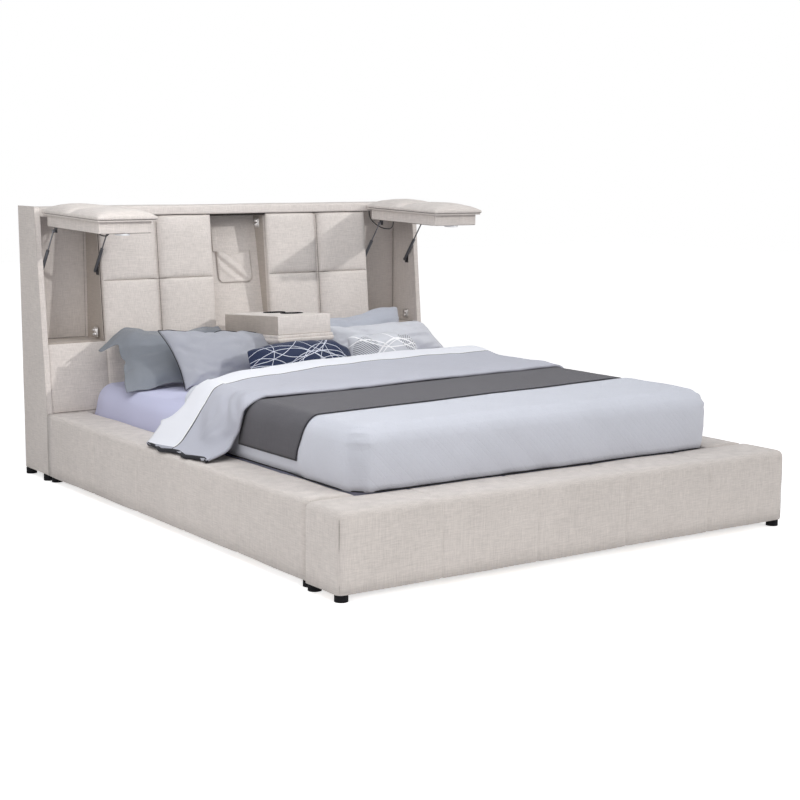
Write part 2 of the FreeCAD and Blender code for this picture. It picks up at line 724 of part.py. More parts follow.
# Leaning back of the middle bin, with its patch pocket.
back_foot_y = face_at(s.bin_floor_top) + s.centre_back_depth
back_foot_z = s.bin_floor_top + s.centre_back_lift
centre_back = block(
    "centre_back", "2 * centre_column", "centre_back_board",
    "(headboard_height - cap_height - bin_floor_top) / cos(centre_back_slope) - 2 * panel_gap",
    (-s.centre_column, back_foot_y, back_foot_z), -s.centre_back_slope,
)
keep(centre_back, "centre_back")
pocket_out = s.pocket_depth + s.pocket_cloth
pocket_y, pocket_z = along(
    back_foot_y, back_foot_z, -s.centre_back_slope, -pocket_out, s.pocket_rise
)
room_y, room_z = along(pocket_y, pocket_z, -s.centre_back_slope, s.pocket_cloth, s.pocket_cloth)
pocket = cut(
    "pocket",
    block(
        "pocket_form", "pocket_width", "pocket_depth + pocket_cloth", "pocket_height",
        (s.pocket_offset - s.pocket_width / 2, pocket_y, pocket_z), -s.centre_back_slope,
    ),
    block(
        "pocket_room", "pocket_width - 2 * pocket_cloth", "pocket_depth + pocket_cloth", "pocket_height",
        (s.pocket_offset - s.pocket_width / 2 + s.pocket_cloth, room_y, room_z), -s.centre_back_slope,
    ),
)
keep(pocket, "pocket")

# Hinge lines of the flaps and the armrest.
flap_height = s.headboard_height - s.flap_hinge_drop
flap_y, flap_z = along(face_y, s.side_top, -s.lean, -s.hinge_stand, rise_to(flap_height))
arm_y, arm_z = along(face_y, s.side_top, -s.lean, -s.hinge_stand, rise_to(s.armrest_hinge_height))
leaf_root = s.knuckle_radius + 2 * s.pin_clearance
root_text = "knuckle_radius + 2 * pin_clearance + leaf_thickness / 2"
plate_text = "leaf_width - knuckle_radius - 2 * pin_clearance"
web_width = leaf_root + s.leaf_thickness / 2
board_face = s.hinge_stand - s.closed_gap
knuckle_count = 5
plates = []
pins = []


def leaf(name, x, y, z, turn, plate_low, plate_size, web_low, web_size, knuckles):
    """Hinge leaf: plate, webs and knuckles in a frame turned about X at the hinge line y, z."""
    left = x - s.hinge_length / 2
    plate_y, plate_z = along(y, z, turn, *plate_low)
    web_y, web_z = along(y, z, turn, *web_low)
    pieces = [block(name + "_plate", "hinge_length", *plate_size, (left, plate_y, plate_z), turn)]
    pitch = (s.hinge_length + s.knuckle_gap) / knuckle_count
    for index in knuckles:
        start = left + index * pitch
        length = pitch - s.knuckle_gap
        pieces.append(rod(f"{name}_knuckle_{index}", "knuckle_radius", length, (start, y, z), x_axis))
        pieces.append(block(f"{name}_web_{index}", length, *web_size, (start, web_y, web_z), turn))
    bore = rod(name + "_bore", "pin_radius + pin_clearance", "hinge_length", (left, y, z), x_axis)
    return cut(name, fuse(name + "_solid", pieces), bore)


def hinge(name, x, y, z, turn, side):
    """Fixed leaf, moving leaf and pin; side is 1 where the fixed leaf stands above the hinge line."""
    on_wall = s.hinge_stand - s.leaf_thickness
    plates.append(leaf(
        name + "_fixed_leaf", x, y, z, -s.lean,
        (on_wall, leaf_root if side > 0 else -s.leaf_width), ("leaf_thickness", plate_text),
        (on_wall, 0 if side > 0 else -web_width), ("leaf_thickness", root_text),
        range(0, knuckle_count, 2),
    ))
    under_board = -board_face - s.leaf_thickness if side > 0 else board_face
    pins.append(rod(name + "_pin", "pin_radius", "hinge_length", (x - s.hinge_length / 2, y, z), x_axis))
    return leaf(
        name + "_moving_leaf", x, y, z, turn,
        (-s.leaf_width, under_board), (plate_text, "leaf_thickness"),
        (-web_width, under_board), (root_text, "leaf_thickness"),
        range(1, knuckle_count, 2),
    )


# Side flaps: board, cushion above, frame below, lamp, brackets for the struts.
box_top = -board_face
box_base = box_top - s.box_depth
closed_room = flap_height - s.bin_floor_top
closed_text = "headboard_height - flap_hinge_drop - bin_floor_top"
flap_reach = closed_room + s.flap_lap
box_end = closed_room - s.box_gap
strut_lower_z = s.headboard_height - s.strut_foot_drop
strut_lower_y = face_at(strut_lower_z) + s.strut_foot_depth
strut_upper_y, strut_upper_z = along(flap_y, flap_z, s.flap_droop, -s.strut_reach, -s.strut_drop)
strut_open = math.hypot(strut_upper_y - strut_lower_y, strut_upper_z - strut_lower_z)
strut_turn = math.degrees(math.atan2(strut_lower_y - strut_upper_y, strut_upper_z - strut_lower_z))
strut_outer = (flap_centre + s.box_width / 2 + wing_inner) / 2
strut_inner = (flap_centre - s.box_width / 2 + outer_column) / 2


def on_flap(x, up, out):
    """Map of a flap: x, length from the hinge line, height over the board."""
    y, z = along(flap_y, flap_z, s.flap_droop, -up, s.flap_board - board_face + out)
    return FreeCAD.Vector(x, y, z)


def flap_block(name, length, width, height, left, far, low):
    """Block in the frame of a flap, its far end at a length from the hinge line."""
    y, z = along(flap_y, flap_z, s.flap_droop, -far, low)
    return block(name, length, width, height, (left, y, z), s.flap_droop)


def strut(name, x):
    """Cylinder and rod of one gas strut; the rod's end fitting hides its ball."""
    def at(height):
        y, z = along(strut_lower_y, strut_lower_z, strut_turn, 0, height)
        return (x, y, z)

    low_eye = rod(
        name + "_low_eye", "eye_radius", "eye_width",
        (x - s.eye_width / 2, strut_lower_y, strut_lower_z), x_axis,
    )
    neck = rod(name + "_neck", "strut_neck", "strut_start + strut_wall", at(0), z_axis, strut_turn)
    barrel = rod(
        name + "_barrel", "strut_radius", "strut_top - strut_start", at(s.strut_start), z_axis, strut_turn
    )
    bore = rod(
        name + "_bore", "strut_radius - strut_wall", "strut_top - strut_start - 2 * strut_cap",
        at(s.strut_start + s.strut_cap), z_axis, strut_turn,
    )
    mouth = rod(
        name + "_mouth", "rod_radius + rod_clearance", "strut_cap + strut_wall + slack",
        at(s.strut_top - s.strut_cap - s.strut_wall), z_axis, strut_turn,
    )
    stud_hole = rod(
        name + "_stud_hole", "stud_radius + stud_clearance", "eye_width + 2 * slack",
        (x - s.eye_width / 2 - s.slack, strut_lower_y, strut_lower_z), x_axis,
    )
    cylinder = cut(
        name + "_cylinder",
        fuse(name + "_outside", [low_eye, neck, barrel]),
        fuse(name + "_inside", [bore, mouth, stud_hole]),
    )
    piston_base = s.strut_top - s.strut_cap - s.piston_stop - s.piston_height
    piston = rod(
        name + "_piston", "strut_radius - strut_wall - piston_clearance", "piston_height",
        at(piston_base), z_axis, strut_turn,
    )
    stem = rod(
        name + "_stem", "rod_radius", strut_open - piston_base, at(piston_base), z_axis, strut_turn
    )
    top_eye = rod(
        name + "_top_eye", "eye_radius", "eye_width",
        (x - s.eye_width / 2, strut_upper_y, strut_upper_z), x_axis,
    )
    return cylinder, fuse(name + "_rod", [piston, stem, top_eye])


mounts = []
for word, hand in (("left", -1), ("right", 1)):
    middle = hand * flap_centre
    cushion = tufted(
        "flap_cushion_" + word,
        [middle - s.flap_width / 2 - s.slack, middle + s.flap_width / 2 + s.slack],
        [s.flap_start, s.flap_seam, flap_reach + s.pad_overhang],
        s.flap_pad, s.flap_crown, on_flap,
    )
    keep(cushion, "flap_cushion_" + word)
    keep(flap_block(
        "flap_board_" + word, "flap_width", closed_text + " + flap_lap - flap_start", "flap_board",
        middle - s.flap_width / 2, flap_reach, box_top,
    ), "flap_board_" + word)
    frame = cut(
        "flap_box_" + word,
        flap_block(
            "box_form_" + word, "box_width", closed_text + " - box_gap - box_start", "box_depth",
            middle - s.box_width / 2, box_end, box_base,
        ),
        flap_block(
            "box_room_" + word, "box_width - 2 * box_wall",
            closed_text + " - box_gap - box_start - 2 * box_wall", "box_depth",
            middle - s.box_width / 2 + s.box_wall, box_end - s.box_wall, box_base + s.box_wall,
        ),
    )
    keep(frame, "flap_box_" + word)

    # Lamp: a ring with a lens in it.
    lamp_y, lamp_z = along(
        flap_y, flap_z, s.flap_droop, s.light_end - box_end, box_base - s.light_height
    )
    ring = rod(
        "lamp_ring_" + word, "light_radius", "light_height", (middle, lamp_y, lamp_z), z_axis, s.flap_droop
    )
    recess = rod(
        "lamp_recess_" + word, "light_radius - light_wall", "light_height - light_back",
        (middle, lamp_y, lamp_z), z_axis, s.flap_droop,
    )
    lens_y, lens_z = along(lamp_y, lamp_z, s.flap_droop, 0, s.light_inset)
    lens = rod(
        "lamp_lens_" + word, "light_radius - light_wall", "light_height - light_back - light_inset",
        (middle, lens_y, lens_z), z_axis, s.flap_droop,
    )
    keep(group("flap_light_" + word, [cut("lamp_cup_" + word, ring, recess), lens]), "flap_light_" + word)
    keep(hinge("flap_hinge_" + word, middle, flap_y, flap_z, s.flap_droop, 1), "flap_hinge_" + word)

    # Struts beside the frame, their lower studs on the bin walls.
    cylinders = []
    stems = []
    brackets = []
    for place, x, wall, box_side, toward in (
        ("outer", hand * strut_outer, hand * wing_inner, hand * (flap_centre + s.box_width / 2), -hand),
        ("inner", hand * strut_inner, hand * outer_column, hand * (flap_centre - s.box_width / 2), hand),
    ):
        tag = f"{place}_{word}"
        cylinder, stem = strut("strut_" + tag, x)
        cylinders.append(cylinder)
        stems.append(stem)
        plate = block(
            "stud_plate_" + tag, "stud_plate", "stud_plate_width", "stud_plate_height",
            (
                min(wall, wall + toward * s.stud_plate),
                strut_lower_y - s.stud_plate_width / 2,
                strut_lower_z - s.stud_plate_height / 2,
            ),
        )
        stud = rod(
            "stud_" + tag, "stud_radius", abs(x - wall) + s.eye_width / 2,
            (wall, strut_lower_y, strut_lower_z), x_axis * toward,
        )
        mounts.append(fuse("strut_mount_" + tag, [plate, stud]))
        leg_x = min(box_side, box_side - toward * s.stud_plate)
        hang = flap_block(
            "hang_" + tag, "stud_plate", "stud_plate_width",
            "strut_drop + eye_radius - box_depth - hinge_stand + closed_gap",
            leg_x, s.strut_reach + s.stud_plate_width / 2, -s.strut_drop - s.eye_radius,
        )
        foot = flap_block(
            "foot_plate_" + tag, "stud_plate_width", "stud_plate_width", "stud_plate",
            min(box_side, box_side + toward * s.stud_plate_width),
            s.strut_reach + s.stud_plate_width / 2, box_base - s.stud_plate,
        )
        boss = rod(
            "boss_" + tag, "stud_radius", abs(x - box_side) - s.eye_width / 2 - s.pivot_gap,
            (box_side, strut_upper_y, strut_upper_z), x_axis * -toward,
        )
        brackets.append(fuse("flap_bracket_" + tag, [hang, foot, boss]))
    keep(group("strut_cylinders_" + word, cylinders), "strut_cylinders_" + word)
    keep(group("strut_rods_" + word, stems), "strut_rods_" + word)
    keep(group("flap_brackets_" + word, brackets), "flap_brackets_" + word)
keep(group("strut_mounts", mounts), "strut_mounts")

# Armrest: the same kind of board and cushion, here with the cushion below and a box above.


def on_armrest(x, up, out):
    """Map of the armrest: x, length from the hinge line, depth under the board."""
    y, z = along(arm_y, arm_z, -s.armrest_rise, -up, board_face - s.flap_board - out)
    return FreeCAD.Vector(x, y, z)


def armrest_block(name, length, width, height, left, far, low):
    """Block in the frame of the armrest, its far end at a length from the hinge line."""
    y, z = along(arm_y, arm_z, -s.armrest_rise, -far, low)
    return block(name, length, width, height, (left, y, z), -s.armrest_rise)


def armrest_disc(name, radius, height, x, reach, low):
    """Upright cylinder in the frame of the armrest."""
    y, z = along(arm_y, arm_z, -s.armrest_rise, -reach, low)
    return rod(name, radius, height, (x, y, z), z_axis, -s.armrest_rise)


armrest_room = cap_base - s.armrest_hinge_height
armrest_text = "headboard_height - cap_height - armrest_hinge_height"
armrest_reach = armrest_room - s.armrest_board_gap
armrest_end = armrest_room - s.armrest_gap
armrest_cushion = tufted(
    "armrest_cushion",
    [-s.armrest_board_width / 2 - s.slack, s.armrest_board_width / 2 + s.slack],
    [s.flap_start, s.armrest_seam, armrest_reach + s.pad_overhang],
    s.flap_pad, s.flap_crown, on_armrest,
)
keep(armrest_cushion, "armrest_cushion")
keep(armrest_block(
    "armrest_board", "armrest_board_width", armrest_text + " - armrest_board_gap - flap_start", "flap_board",
    -s.armrest_board_width / 2, armrest_reach, board_face - s.flap_board,
), "armrest_board")
armrest_top = board_face + s.armrest_depth
wells = []
cups = []
for number, reach in enumerate((s.cup_first, s.cup_second), start=1):
    well = armrest_disc(
        f"cup_well_{number}", "cup_radius + cup_wall", "cup_depth + slack", s.cup_offset, reach,
        armrest_top - s.cup_depth,
    )
    wells.append(well)
    outside = armrest_disc(
        f"cup_outside_{number}", "cup_radius + cup_wall", "cup_depth", s.cup_offset, reach,
        armrest_top - s.cup_depth,
    )
    rim = armrest_disc(
        f"cup_rim_{number}", "cup_radius + cup_wall + cup_rim", "cup_rim_height", s.cup_offset, reach,
        armrest_top,
    )
    inside = armrest_disc(
        f"cup_inside_{number}", "cup_radius", "cup_depth + cup_rim_height", s.cup_offset, reach,
        armrest_top - s.cup_depth + s.cup_wall,
    )
    cups.append(cut(f"cup_{number}", fuse(f"cup_solid_{number}", [outside, rim]), inside))
keep(group("cup_holders", cups), "cup_holders")
hollow = armrest_block(
    "armrest_room", "armrest_width - 2 * armrest_wall",
    armrest_text + " - armrest_gap - armrest_start - 2 * armrest_wall", "armrest_depth - armrest_wall",
    s.armrest_wall - s.armrest_width / 2, armrest_end - s.armrest_wall, board_face,
)
armrest_box = cut(
    "armrest_box",
    armrest_block(
        "armrest_form", "armrest_width", armrest_text + " - armrest_gap - armrest_start", "armrest_depth",
        -s.armrest_width / 2, armrest_end, board_face,
    ),
    fuse("armrest_openings", [hollow] + wells),
)
keep(armrest_box, "armrest_box")
keep(hinge("armrest_hinge", 0, arm_y, arm_z, -s.armrest_rise, -1), "armrest_hinge")
keep(group("hinge_plates", plates), "hinge_plates")
keep(group("hinge_pins", pins), "hinge_pins")

# Roller catches on the bin walls: a drilled plate with a roller on its face.
catches = []
side_y = face_at(s.catch_height) + s.catch_depth
top_z = s.headboard_height - s.top_catch_drop
top_y = back_foot_y + (top_z - back_foot_z) * math.tan(math.radians(s.centre_back_slope)) - s.top_catch_gap
for word, wall, toward, y, height in (
    ("left_outer", -wing_inner, 1, side_y, s.catch_height),
    ("left_inner", -outer_column, -1, side_y, s.catch_height),
    ("right_inner", outer_column, 1, side_y, s.catch_height),
    ("right_outer", wing_inner, -1, side_y, s.catch_height),
    ("centre_left", -s.centre_column, 1, top_y, top_z),
    ("centre_right", s.centre_column, -1, top_y, top_z),
):
    plate = block(
        "catch_plate_" + word, "catch_plate", "catch_width", "catch_tall",
        (min(wall, wall + toward * s.catch_plate), y - s.catch_width / 2, height - s.catch_tall / 2),
    )
    roller = rod(
        "catch_roller_" + word, "roller_radius", "roller_length",
        (wall + toward * s.roller_radius, y - s.roller_offset, height - s.roller_length / 2), z_axis,
    )
    catches.append(fuse("catch_" + word, [plate, roller]))
keep(group("catches", catches), "catches")

# Lamp cables: each hangs in one loop from the cap to the frame of its flap.
cable_shares = ((0.0, 0.44), (0.29, 0.865), (0.65, 1.0), (1.0, 0.9))
bend_share = 0.45


def smooth_route(points):
    """Wire of straight runs joined by arcs that touch them."""
    edges = []
    start = points[0]
    for before, corner, after in zip(points, points[1:], points[2:]):
        reach = bend_share * min((corner - before).Length, (after - corner).Length)
        come = (before - corner).normalize()
        leave = (after - corner).normalize()
        half = come.getAngle(leave) / 2
        middle = (come + leave).normalize()
        radius = reach * math.tan(half)
        first = corner + come * reach
        last = corner + leave * reach
        crown = corner + middle * (reach / math.cos(half) - radius)
        print("cable bend", round(radius, 1))
        edges.append(Part.LineSegment(start, first).toShape())
        edges.append(Part.Arc(first, crown, last).toShape())
        start = last
    edges.append(Part.LineSegment(start, points[-1]).toShape())
    return Part.Wire(edges)


cables = []
for word, hand in (("left", -1), ("right", 1)):
    x = hand * (flap_centre - s.cable_offset)
    start_y = flap_y + s.cable_start
    end_y, end_z = along(flap_y, flap_z, s.flap_droop, -s.cable_reach, box_base - s.cable_gap)
    points = [FreeCAD.Vector(x, start_y, cap_base - s.cable_gap)]
    for back, down in cable_shares:
        y = start_y + back * (end_y - start_y)
        points.append(FreeCAD.Vector(x, y, cap_base - down * s.cable_sag))
    points.append(FreeCAD.Vector(x, end_y, end_z))
    route = smooth_route(points)
    section = Part.Wire(Part.makeCircle(s.cable_radius, points[0], points[1] - points[0]))
    cable = route.makePipeShell([section], True, True)
    print("cable", round(cable.Volume / (math.pi * s.cable_radius ** 2 * route.Length), 4))
    cables.append(form("cable_" + word, cable))
keep(group("light_cables", cables), "light_cables")

# Bedding: mattress, duvet with its turned-back part, a blanket, pillows and cushions.
far_up = FreeCAD.Vector(0, 0, s.bed_length)


def rounded_block(low, high, radius, chosen):
    """Box between two corners with the chosen edges rounded."""
    size = [upper - lower for lower, upper in zip(low, high)]
    shape = Part.makeBox(*size, FreeCAD.Vector(*low))
    return shape.makeFillet(radius, [edge for edge in shape.Edges if chosen(edge, low, high)])


def upper_edges(edge, low, high):
    """True for the edges round the top and for the upright ones."""
    box = edge.BoundBox
    return box.ZMax > box.ZMin + s.slack or box.ZMin > low[2] + s.slack


def foot_and_sides(edge, low, high):
    """True for the top edges at the sides and the foot, and the uprights at the foot."""
    return upper_edges(edge, low, high) and edge.BoundBox.YMin < high[1] - s.slack


def long_edges(edge, low, high):
    """True for the two top edges along the bed."""
    box = edge.BoundBox
    return box.YMax > box.YMin + s.slack and box.ZMin > low[2] + s.slack


def plan(points):
    """Upright prism over an outline seen from above, as tall as the bed is long."""
    corners = [FreeCAD.Vector(x, y, 0) for x, y in points]
    return Part.Face(Part.makePolygon(corners + corners[:1])).extrude(far_up)


mattress_top = s.slat_top + s.slack + s.mattress_height
mattress_low = (-mattress_half, mattress_y, s.slat_top + s.slack)
mattress_high = (mattress_half, mattress_y + mattress_length, mattress_top)
mattress = rounded_block(mattress_low, mattress_high, s.mattress_round, upper_edges)
keep(form("mattress", mattress), "mattress")

duvet_half = mattress_half + s.duvet_side
duvet_low = (-duvet_half, mattress_y - s.duvet_foot, s.side_top + s.duvet_clearance)
duvet_high = (duvet_half, s.bed_length / 2, s.duvet_top)
duvet_room = rounded_block(
    (mattress_low[0] - s.slack, mattress_low[1] - s.slack, 0),
    (mattress_high[0] + s.slack, s.bed_length, mattress_top + s.slack),
    s.mattress_round, foot_and_sides,
)
head_left = face_y - s.duvet_head - s.duvet_slant / 2
head_right = face_y - s.duvet_head + s.duvet_slant / 2
duvet_plan = plan([
    (-duvet_half, -s.bed_length), (duvet_half, -s.bed_length),
    (duvet_half, head_right), (-duvet_half, head_left),
])
duvet = rounded_block(duvet_low, duvet_high, s.duvet_round, foot_and_sides).cut(duvet_room).common(duvet_plan)
keep(form("duvet", duvet), "duvet")


def draped(thickness, low, outline):
    """Layer that lies on the duvet and hangs at its sides, cut to an outline from above."""
    inner = (duvet_half + s.slack, s.duvet_top + s.slack)
    outer = (inner[0] + thickness, inner[1] + thickness)
    shapes = [
        rounded_block(
            (-half, -s.bed_length, low), (half, s.bed_length, top), s.duvet_round + grow, long_edges
        )
        for (half, top), grow in ((outer, s.slack + thickness), (inner, s.slack))
    ]
    return shapes[0].cut(shapes[1]).common(plan(outline))


fold_half = duvet_half + s.slack + s.fold_thickness
foot_left = face_y - s.fold_foot - s.fold_slant / 2
foot_right = face_y - s.fold_foot + s.fold_slant / 2
fold = draped(s.fold_thickness, duvet_low[2], [
    (-fold_half, foot_left), (fold_half, foot_right), (fold_half, face_y - s.fold_right),
    (s.fold_quarter, face_y - s.fold_right), (-s.fold_bend, face_y - s.fold_middle),
    (-fold_half, face_y - s.fold_left),
])
right_room = Part.makeBox(
    2 * duvet_half, s.bed_length, s.hang_height, FreeCAD.Vector(0, -s.bed_length / 2, 0)
)
spill_foot = foot_left + s.spill_gap
spill_size = (s.fold_spill, face_y - s.fold_left - spill_foot - s.fold_thickness, s.fold_thickness)
spill_place = FreeCAD.Vector(-fold_half - s.fold_spill + s.fold_thickness, spill_foot, duvet_low[2])
spill = Part.makeBox(*spill_size, spill_place)
keep(form("duvet_fold", fold.cut(right_room).fuse(spill).removeSplitter()), "duvet_fold")

runner_half = duvet_half + s.slack + s.runner_thickness
runner = draped(s.runner_thickness, s.hang_height, [
    (-runner_half, foot_left - s.runner_gap - s.runner_width),
    (runner_half, foot_right - s.runner_gap - s.runner_width),
    (runner_half, foot_right - s.runner_gap),
    (-runner_half, foot_left - s.runner_gap),
])
keep(form("bed_runner", runner), "bed_runner")

pillow_shares = (0.0, 0.06, 0.18, 0.34, 0.5, 0.66, 0.82, 0.94, 1.0)
plump_shares = (0.16, 0.42, 0.74, 0.95, 1.0, 0.95, 0.74, 0.42, 0.16)
draw_share = 0.05


def pillow(name, low_left, low_right, high_left, high_right, thickness):
    """Pillow between four corners: lens sections, thin at the sides, drawn in between corners."""
    corners = [FreeCAD.Vector(*point) for point in (low_left, low_right, high_left, high_right)]
    wires = []
    for share, plump in zip(pillow_shares, plump_shares):
        low = corners[0] + (corners[1] - corners[0]) * share
        high = corners[2] + (corners[3] - corners[2]) * share
        draw = (high - low) * (draw_share * 4 * share * (1 - share))
        low += draw
        high -= draw
        rise = high - low
        across = (x_axis - rise * (x_axis.dot(rise) / rise.Length ** 2)).normalize()
        out = across.cross(rise).normalize() * (thickness / 2 * plump)
        middle = (low + high) / 2
        wires.append(Part.Wire([
            Part.Arc(low, middle + out, high).toShape(), Part.Arc(high, middle - out, low).toShape(),
        ]))
    keep(form(name, Part.makeLoft(wires, True, True)), name)


sham_sides = (
    ("left", -1, s.sham_left_low_edge, s.sham_left_edge),
    ("right", 1, s.sham_right_low_edge, s.sham_right_edge),
)
for word, hand, low_edge, edge in sham_sides:
    low_ends = sorted([hand * s.sham_inside, hand * (mattress_half - s.sham_outside)])
    high_ends = sorted([hand * s.sham_inside, hand * (mattress_half - s.sham_corner)])
    corners = [(x, face_y - low_edge, s.sham_low_height) for x in low_ends]
    corners += [(x, face_y - edge, s.sham_high_height) for x in high_ends]
    pillow("sham_" + word, *corners, s.sham_thickness)
pillow(
    "pillow_left",
    (s.pillow_left_low_side - mattress_half, face_y - s.pillow_left_low_outer, s.pillow_low_height),
    (-s.pillow_left_inside, face_y - s.pillow_left_low_inner, s.pillow_low_height),
    (s.pillow_left_high_side - mattress_half, face_y - s.pillow_left_high_outer, s.pillow_left_outer_height),
    (-s.pillow_left_inside, face_y - s.pillow_left_high_inner, s.pillow_left_inner_height),
    s.pillow_thickness,
)


def straight_pillow(name, ends, low_edge, high_edge, height, thickness):
    """Pillow with level edges, at two distances from the headboard face."""
    edges = [(x, face_y - low_edge, s.pillow_low_height) for x in ends]
    edges += [(x, face_y - high_edge, height) for x in ends]
    pillow(name, *edges, thickness)


straight_pillow(
    "pillow_right", (s.pillow_right_inside, mattress_half - s.pillow_right_outside),
    s.pillow_right_low_edge, s.pillow_right_high_edge, s.pillow_right_high_height, s.pillow_thickness,
)
straight_pillow(
    "cushion_navy", (-s.navy_start, s.navy_width - s.navy_start),
    s.navy_low_edge, s.navy_high_edge, s.navy_high_height, s.navy_thickness,
)
straight_pillow(
    "cushion_pattern", (s.pattern_start, s.pattern_start + s.pattern_width),
    s.pattern_low_edge, s.pattern_high_edge, s.pattern_high_height, s.navy_thickness,
)

document.recompute()
for item in document.Objects:
    if "Invalid" in item.State or "Error" in item.State:
        raise RuntimeError(f"{item.Name} failed: {item.State}")
for item in nodes:
    if item.Shape.isNull() or not item.Shape.isValid():
        raise RuntimeError(f"{item.Label} has no valid shape")
os.makedirs("parts", exist_ok=True)
for item in nodes:
    item.Shape.exportStep(os.path.join("parts", item.Label + ".step"))
print("nodes", len(nodes))
print("flap hinge", round(flap_y, 3), round(flap_z, 3))
print("armrest hinge", round(arm_y, 3), round(arm_z, 3))
print("strut foot", round(strut_lower_y, 3), round(strut_lower_z, 3), "turn", round(strut_turn, 3))
print("strut length", round(strut_open, 3))
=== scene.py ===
import math
import bmesh
import bpy
from mathutils import Matrix, Vector, noise
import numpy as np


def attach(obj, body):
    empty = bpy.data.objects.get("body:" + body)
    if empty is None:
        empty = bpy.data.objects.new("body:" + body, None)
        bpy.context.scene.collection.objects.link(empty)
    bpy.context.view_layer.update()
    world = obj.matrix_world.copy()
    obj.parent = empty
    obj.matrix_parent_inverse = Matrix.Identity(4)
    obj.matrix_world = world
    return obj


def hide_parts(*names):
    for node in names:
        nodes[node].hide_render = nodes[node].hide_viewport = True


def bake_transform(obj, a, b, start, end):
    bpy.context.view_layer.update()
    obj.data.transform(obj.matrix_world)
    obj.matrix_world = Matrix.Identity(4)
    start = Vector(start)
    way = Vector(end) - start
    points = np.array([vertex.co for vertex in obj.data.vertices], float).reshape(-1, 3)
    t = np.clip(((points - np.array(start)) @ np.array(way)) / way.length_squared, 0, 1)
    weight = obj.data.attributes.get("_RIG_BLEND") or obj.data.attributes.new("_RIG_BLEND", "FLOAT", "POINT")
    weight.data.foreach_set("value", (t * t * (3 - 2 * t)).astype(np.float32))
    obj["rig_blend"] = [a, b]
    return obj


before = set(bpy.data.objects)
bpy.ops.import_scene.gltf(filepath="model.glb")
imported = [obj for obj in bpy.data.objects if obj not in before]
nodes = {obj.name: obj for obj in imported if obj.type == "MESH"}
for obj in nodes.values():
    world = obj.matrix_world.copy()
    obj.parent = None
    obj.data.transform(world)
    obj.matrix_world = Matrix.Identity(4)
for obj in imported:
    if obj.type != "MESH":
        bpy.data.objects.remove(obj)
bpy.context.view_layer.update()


def mm(*numbers):
    return Vector(n / 1000 for n in numbers)


def paint(hexText):  # sRGB hex to linear colour
    parts = [int(hexText[i:i + 2], 16) / 255 for i in (1, 3, 5)]
    return tuple(p / 12.92 if p <= 0.04045 else ((p + 0.055) / 1.055) ** 2.4 for p in parts) + (1.0,)


def shade(color, factor):
    return tuple(c * factor for c in color[:3]) + (1.0,)


def showObject(name, data):
    obj = bpy.data.objects.new(name, data)
    bpy.context.scene.collection.objects.link(obj)
    return obj


# camera, turned and placed as the photo's
view = {"yaw": 34.745, "pitch": 8.5, "roll": -0.283, "lens": 73.617, "place": (-3.5326, -5.2605, 1.3346)}
yaw, pitch, roll = (math.radians(view[key]) for key in ("yaw", "pitch", "roll"))
forward = Vector((math.sin(yaw) * math.cos(pitch), math.cos(yaw) * math.cos(pitch), -math.sin(pitch)))
level = Vector((math.cos(yaw), -math.sin(yaw), 0))
down = forward.cross(level)
cameraRight = level * math.cos(roll) + down * math.sin(roll)
cameraUp = level * math.sin(roll) - down * math.cos(roll)
cameraData = bpy.data.cameras.new("photoCamera")
cameraData.lens, cameraData.sensor_width, cameraData.clip_end = view["lens"], 36, 60
camera = showObject("photoCamera", cameraData)
turn = Matrix((cameraRight, cameraUp, -forward)).transposed().to_4x4()
camera.matrix_world = Matrix.Translation(view["place"]) @ turn
bpy.context.scene.camera = camera


# materials; inputs go by number or by name, and a node given as an input stands for its first output
def addNode(tree, kind, *inOrder, inputs=None, **settings):
    node = tree.nodes.new("ShaderNode" + kind)
    for key, value in settings.items():
        setattr(node, key, value)
    for key, value in [*enumerate(inOrder), *(inputs or {}).items()]:
        source = value.outputs[0] if isinstance(value, bpy.types.Node) else value
        if isinstance(source, bpy.types.NodeSocket):
            tree.links.new(source, node.inputs[key])
        else:
            node.inputs[key].default_value = source
    return node


def newMaterial(name, roughness=0.8, metallic=0.0, **sockets):
    material = bpy.data.materials.new(name)
    material.use_nodes = True
    tree = material.node_tree
    shader = tree.nodes["Principled BSDF"]
    shader.inputs["Roughness"].default_value = roughness
    shader.inputs["Metallic"].default_value = metallic
    for key, value in sockets.items():
        shader.inputs[key.replace("_", " ")].default_value = value
    place = addNode(tree, "TexCoord").outputs["Object"]
    return material, tree, shader, place


def coat(tree, shader, color, height, strength, distance=1.0):
    tree.links.new(color.outputs[2], shader.inputs["Base Color"])
    bump = addNode(tree, "Bump", inputs={"Strength": strength, "Distance": distance, "Height": height})
    tree.links.new(bump.outputs[0], shader.inputs["Normal"])


def streaks(tree, place, scale, detail=2.0):  # marks per metre along each axis
    moved = addNode(tree, "Mapping", inputs={"Vector": place, "Scale": scale}, vector_type="POINT")
    return addNode(tree, "TexNoise", inputs={"Vector": moved, "Scale": 1.0, "Detail": detail}).outputs["Fac"]


def threads(tree, place, pitch):  # the thread spacing in metres
    parts = addNode(tree, "SeparateXYZ", place)
    total = None
    for axis in range(3):
        turns = addNode(tree, "Math", parts.outputs[axis], 2 * math.pi / pitch, operation="MULTIPLY")
        wave = addNode(tree, "Math", turns, operation="SINE")
        total = wave if total is None else addNode(tree, "Math", total, wave, operation="ADD")
    return total


def within(tree, value, low, high):
    above = addNode(tree, "Math", value, low, operation="GREATER_THAN")
    below = addNode(tree, "Math", value, high, operation="LESS_THAN")
    return addNode(tree, "Math", above, below, operation="MULTIPLY")


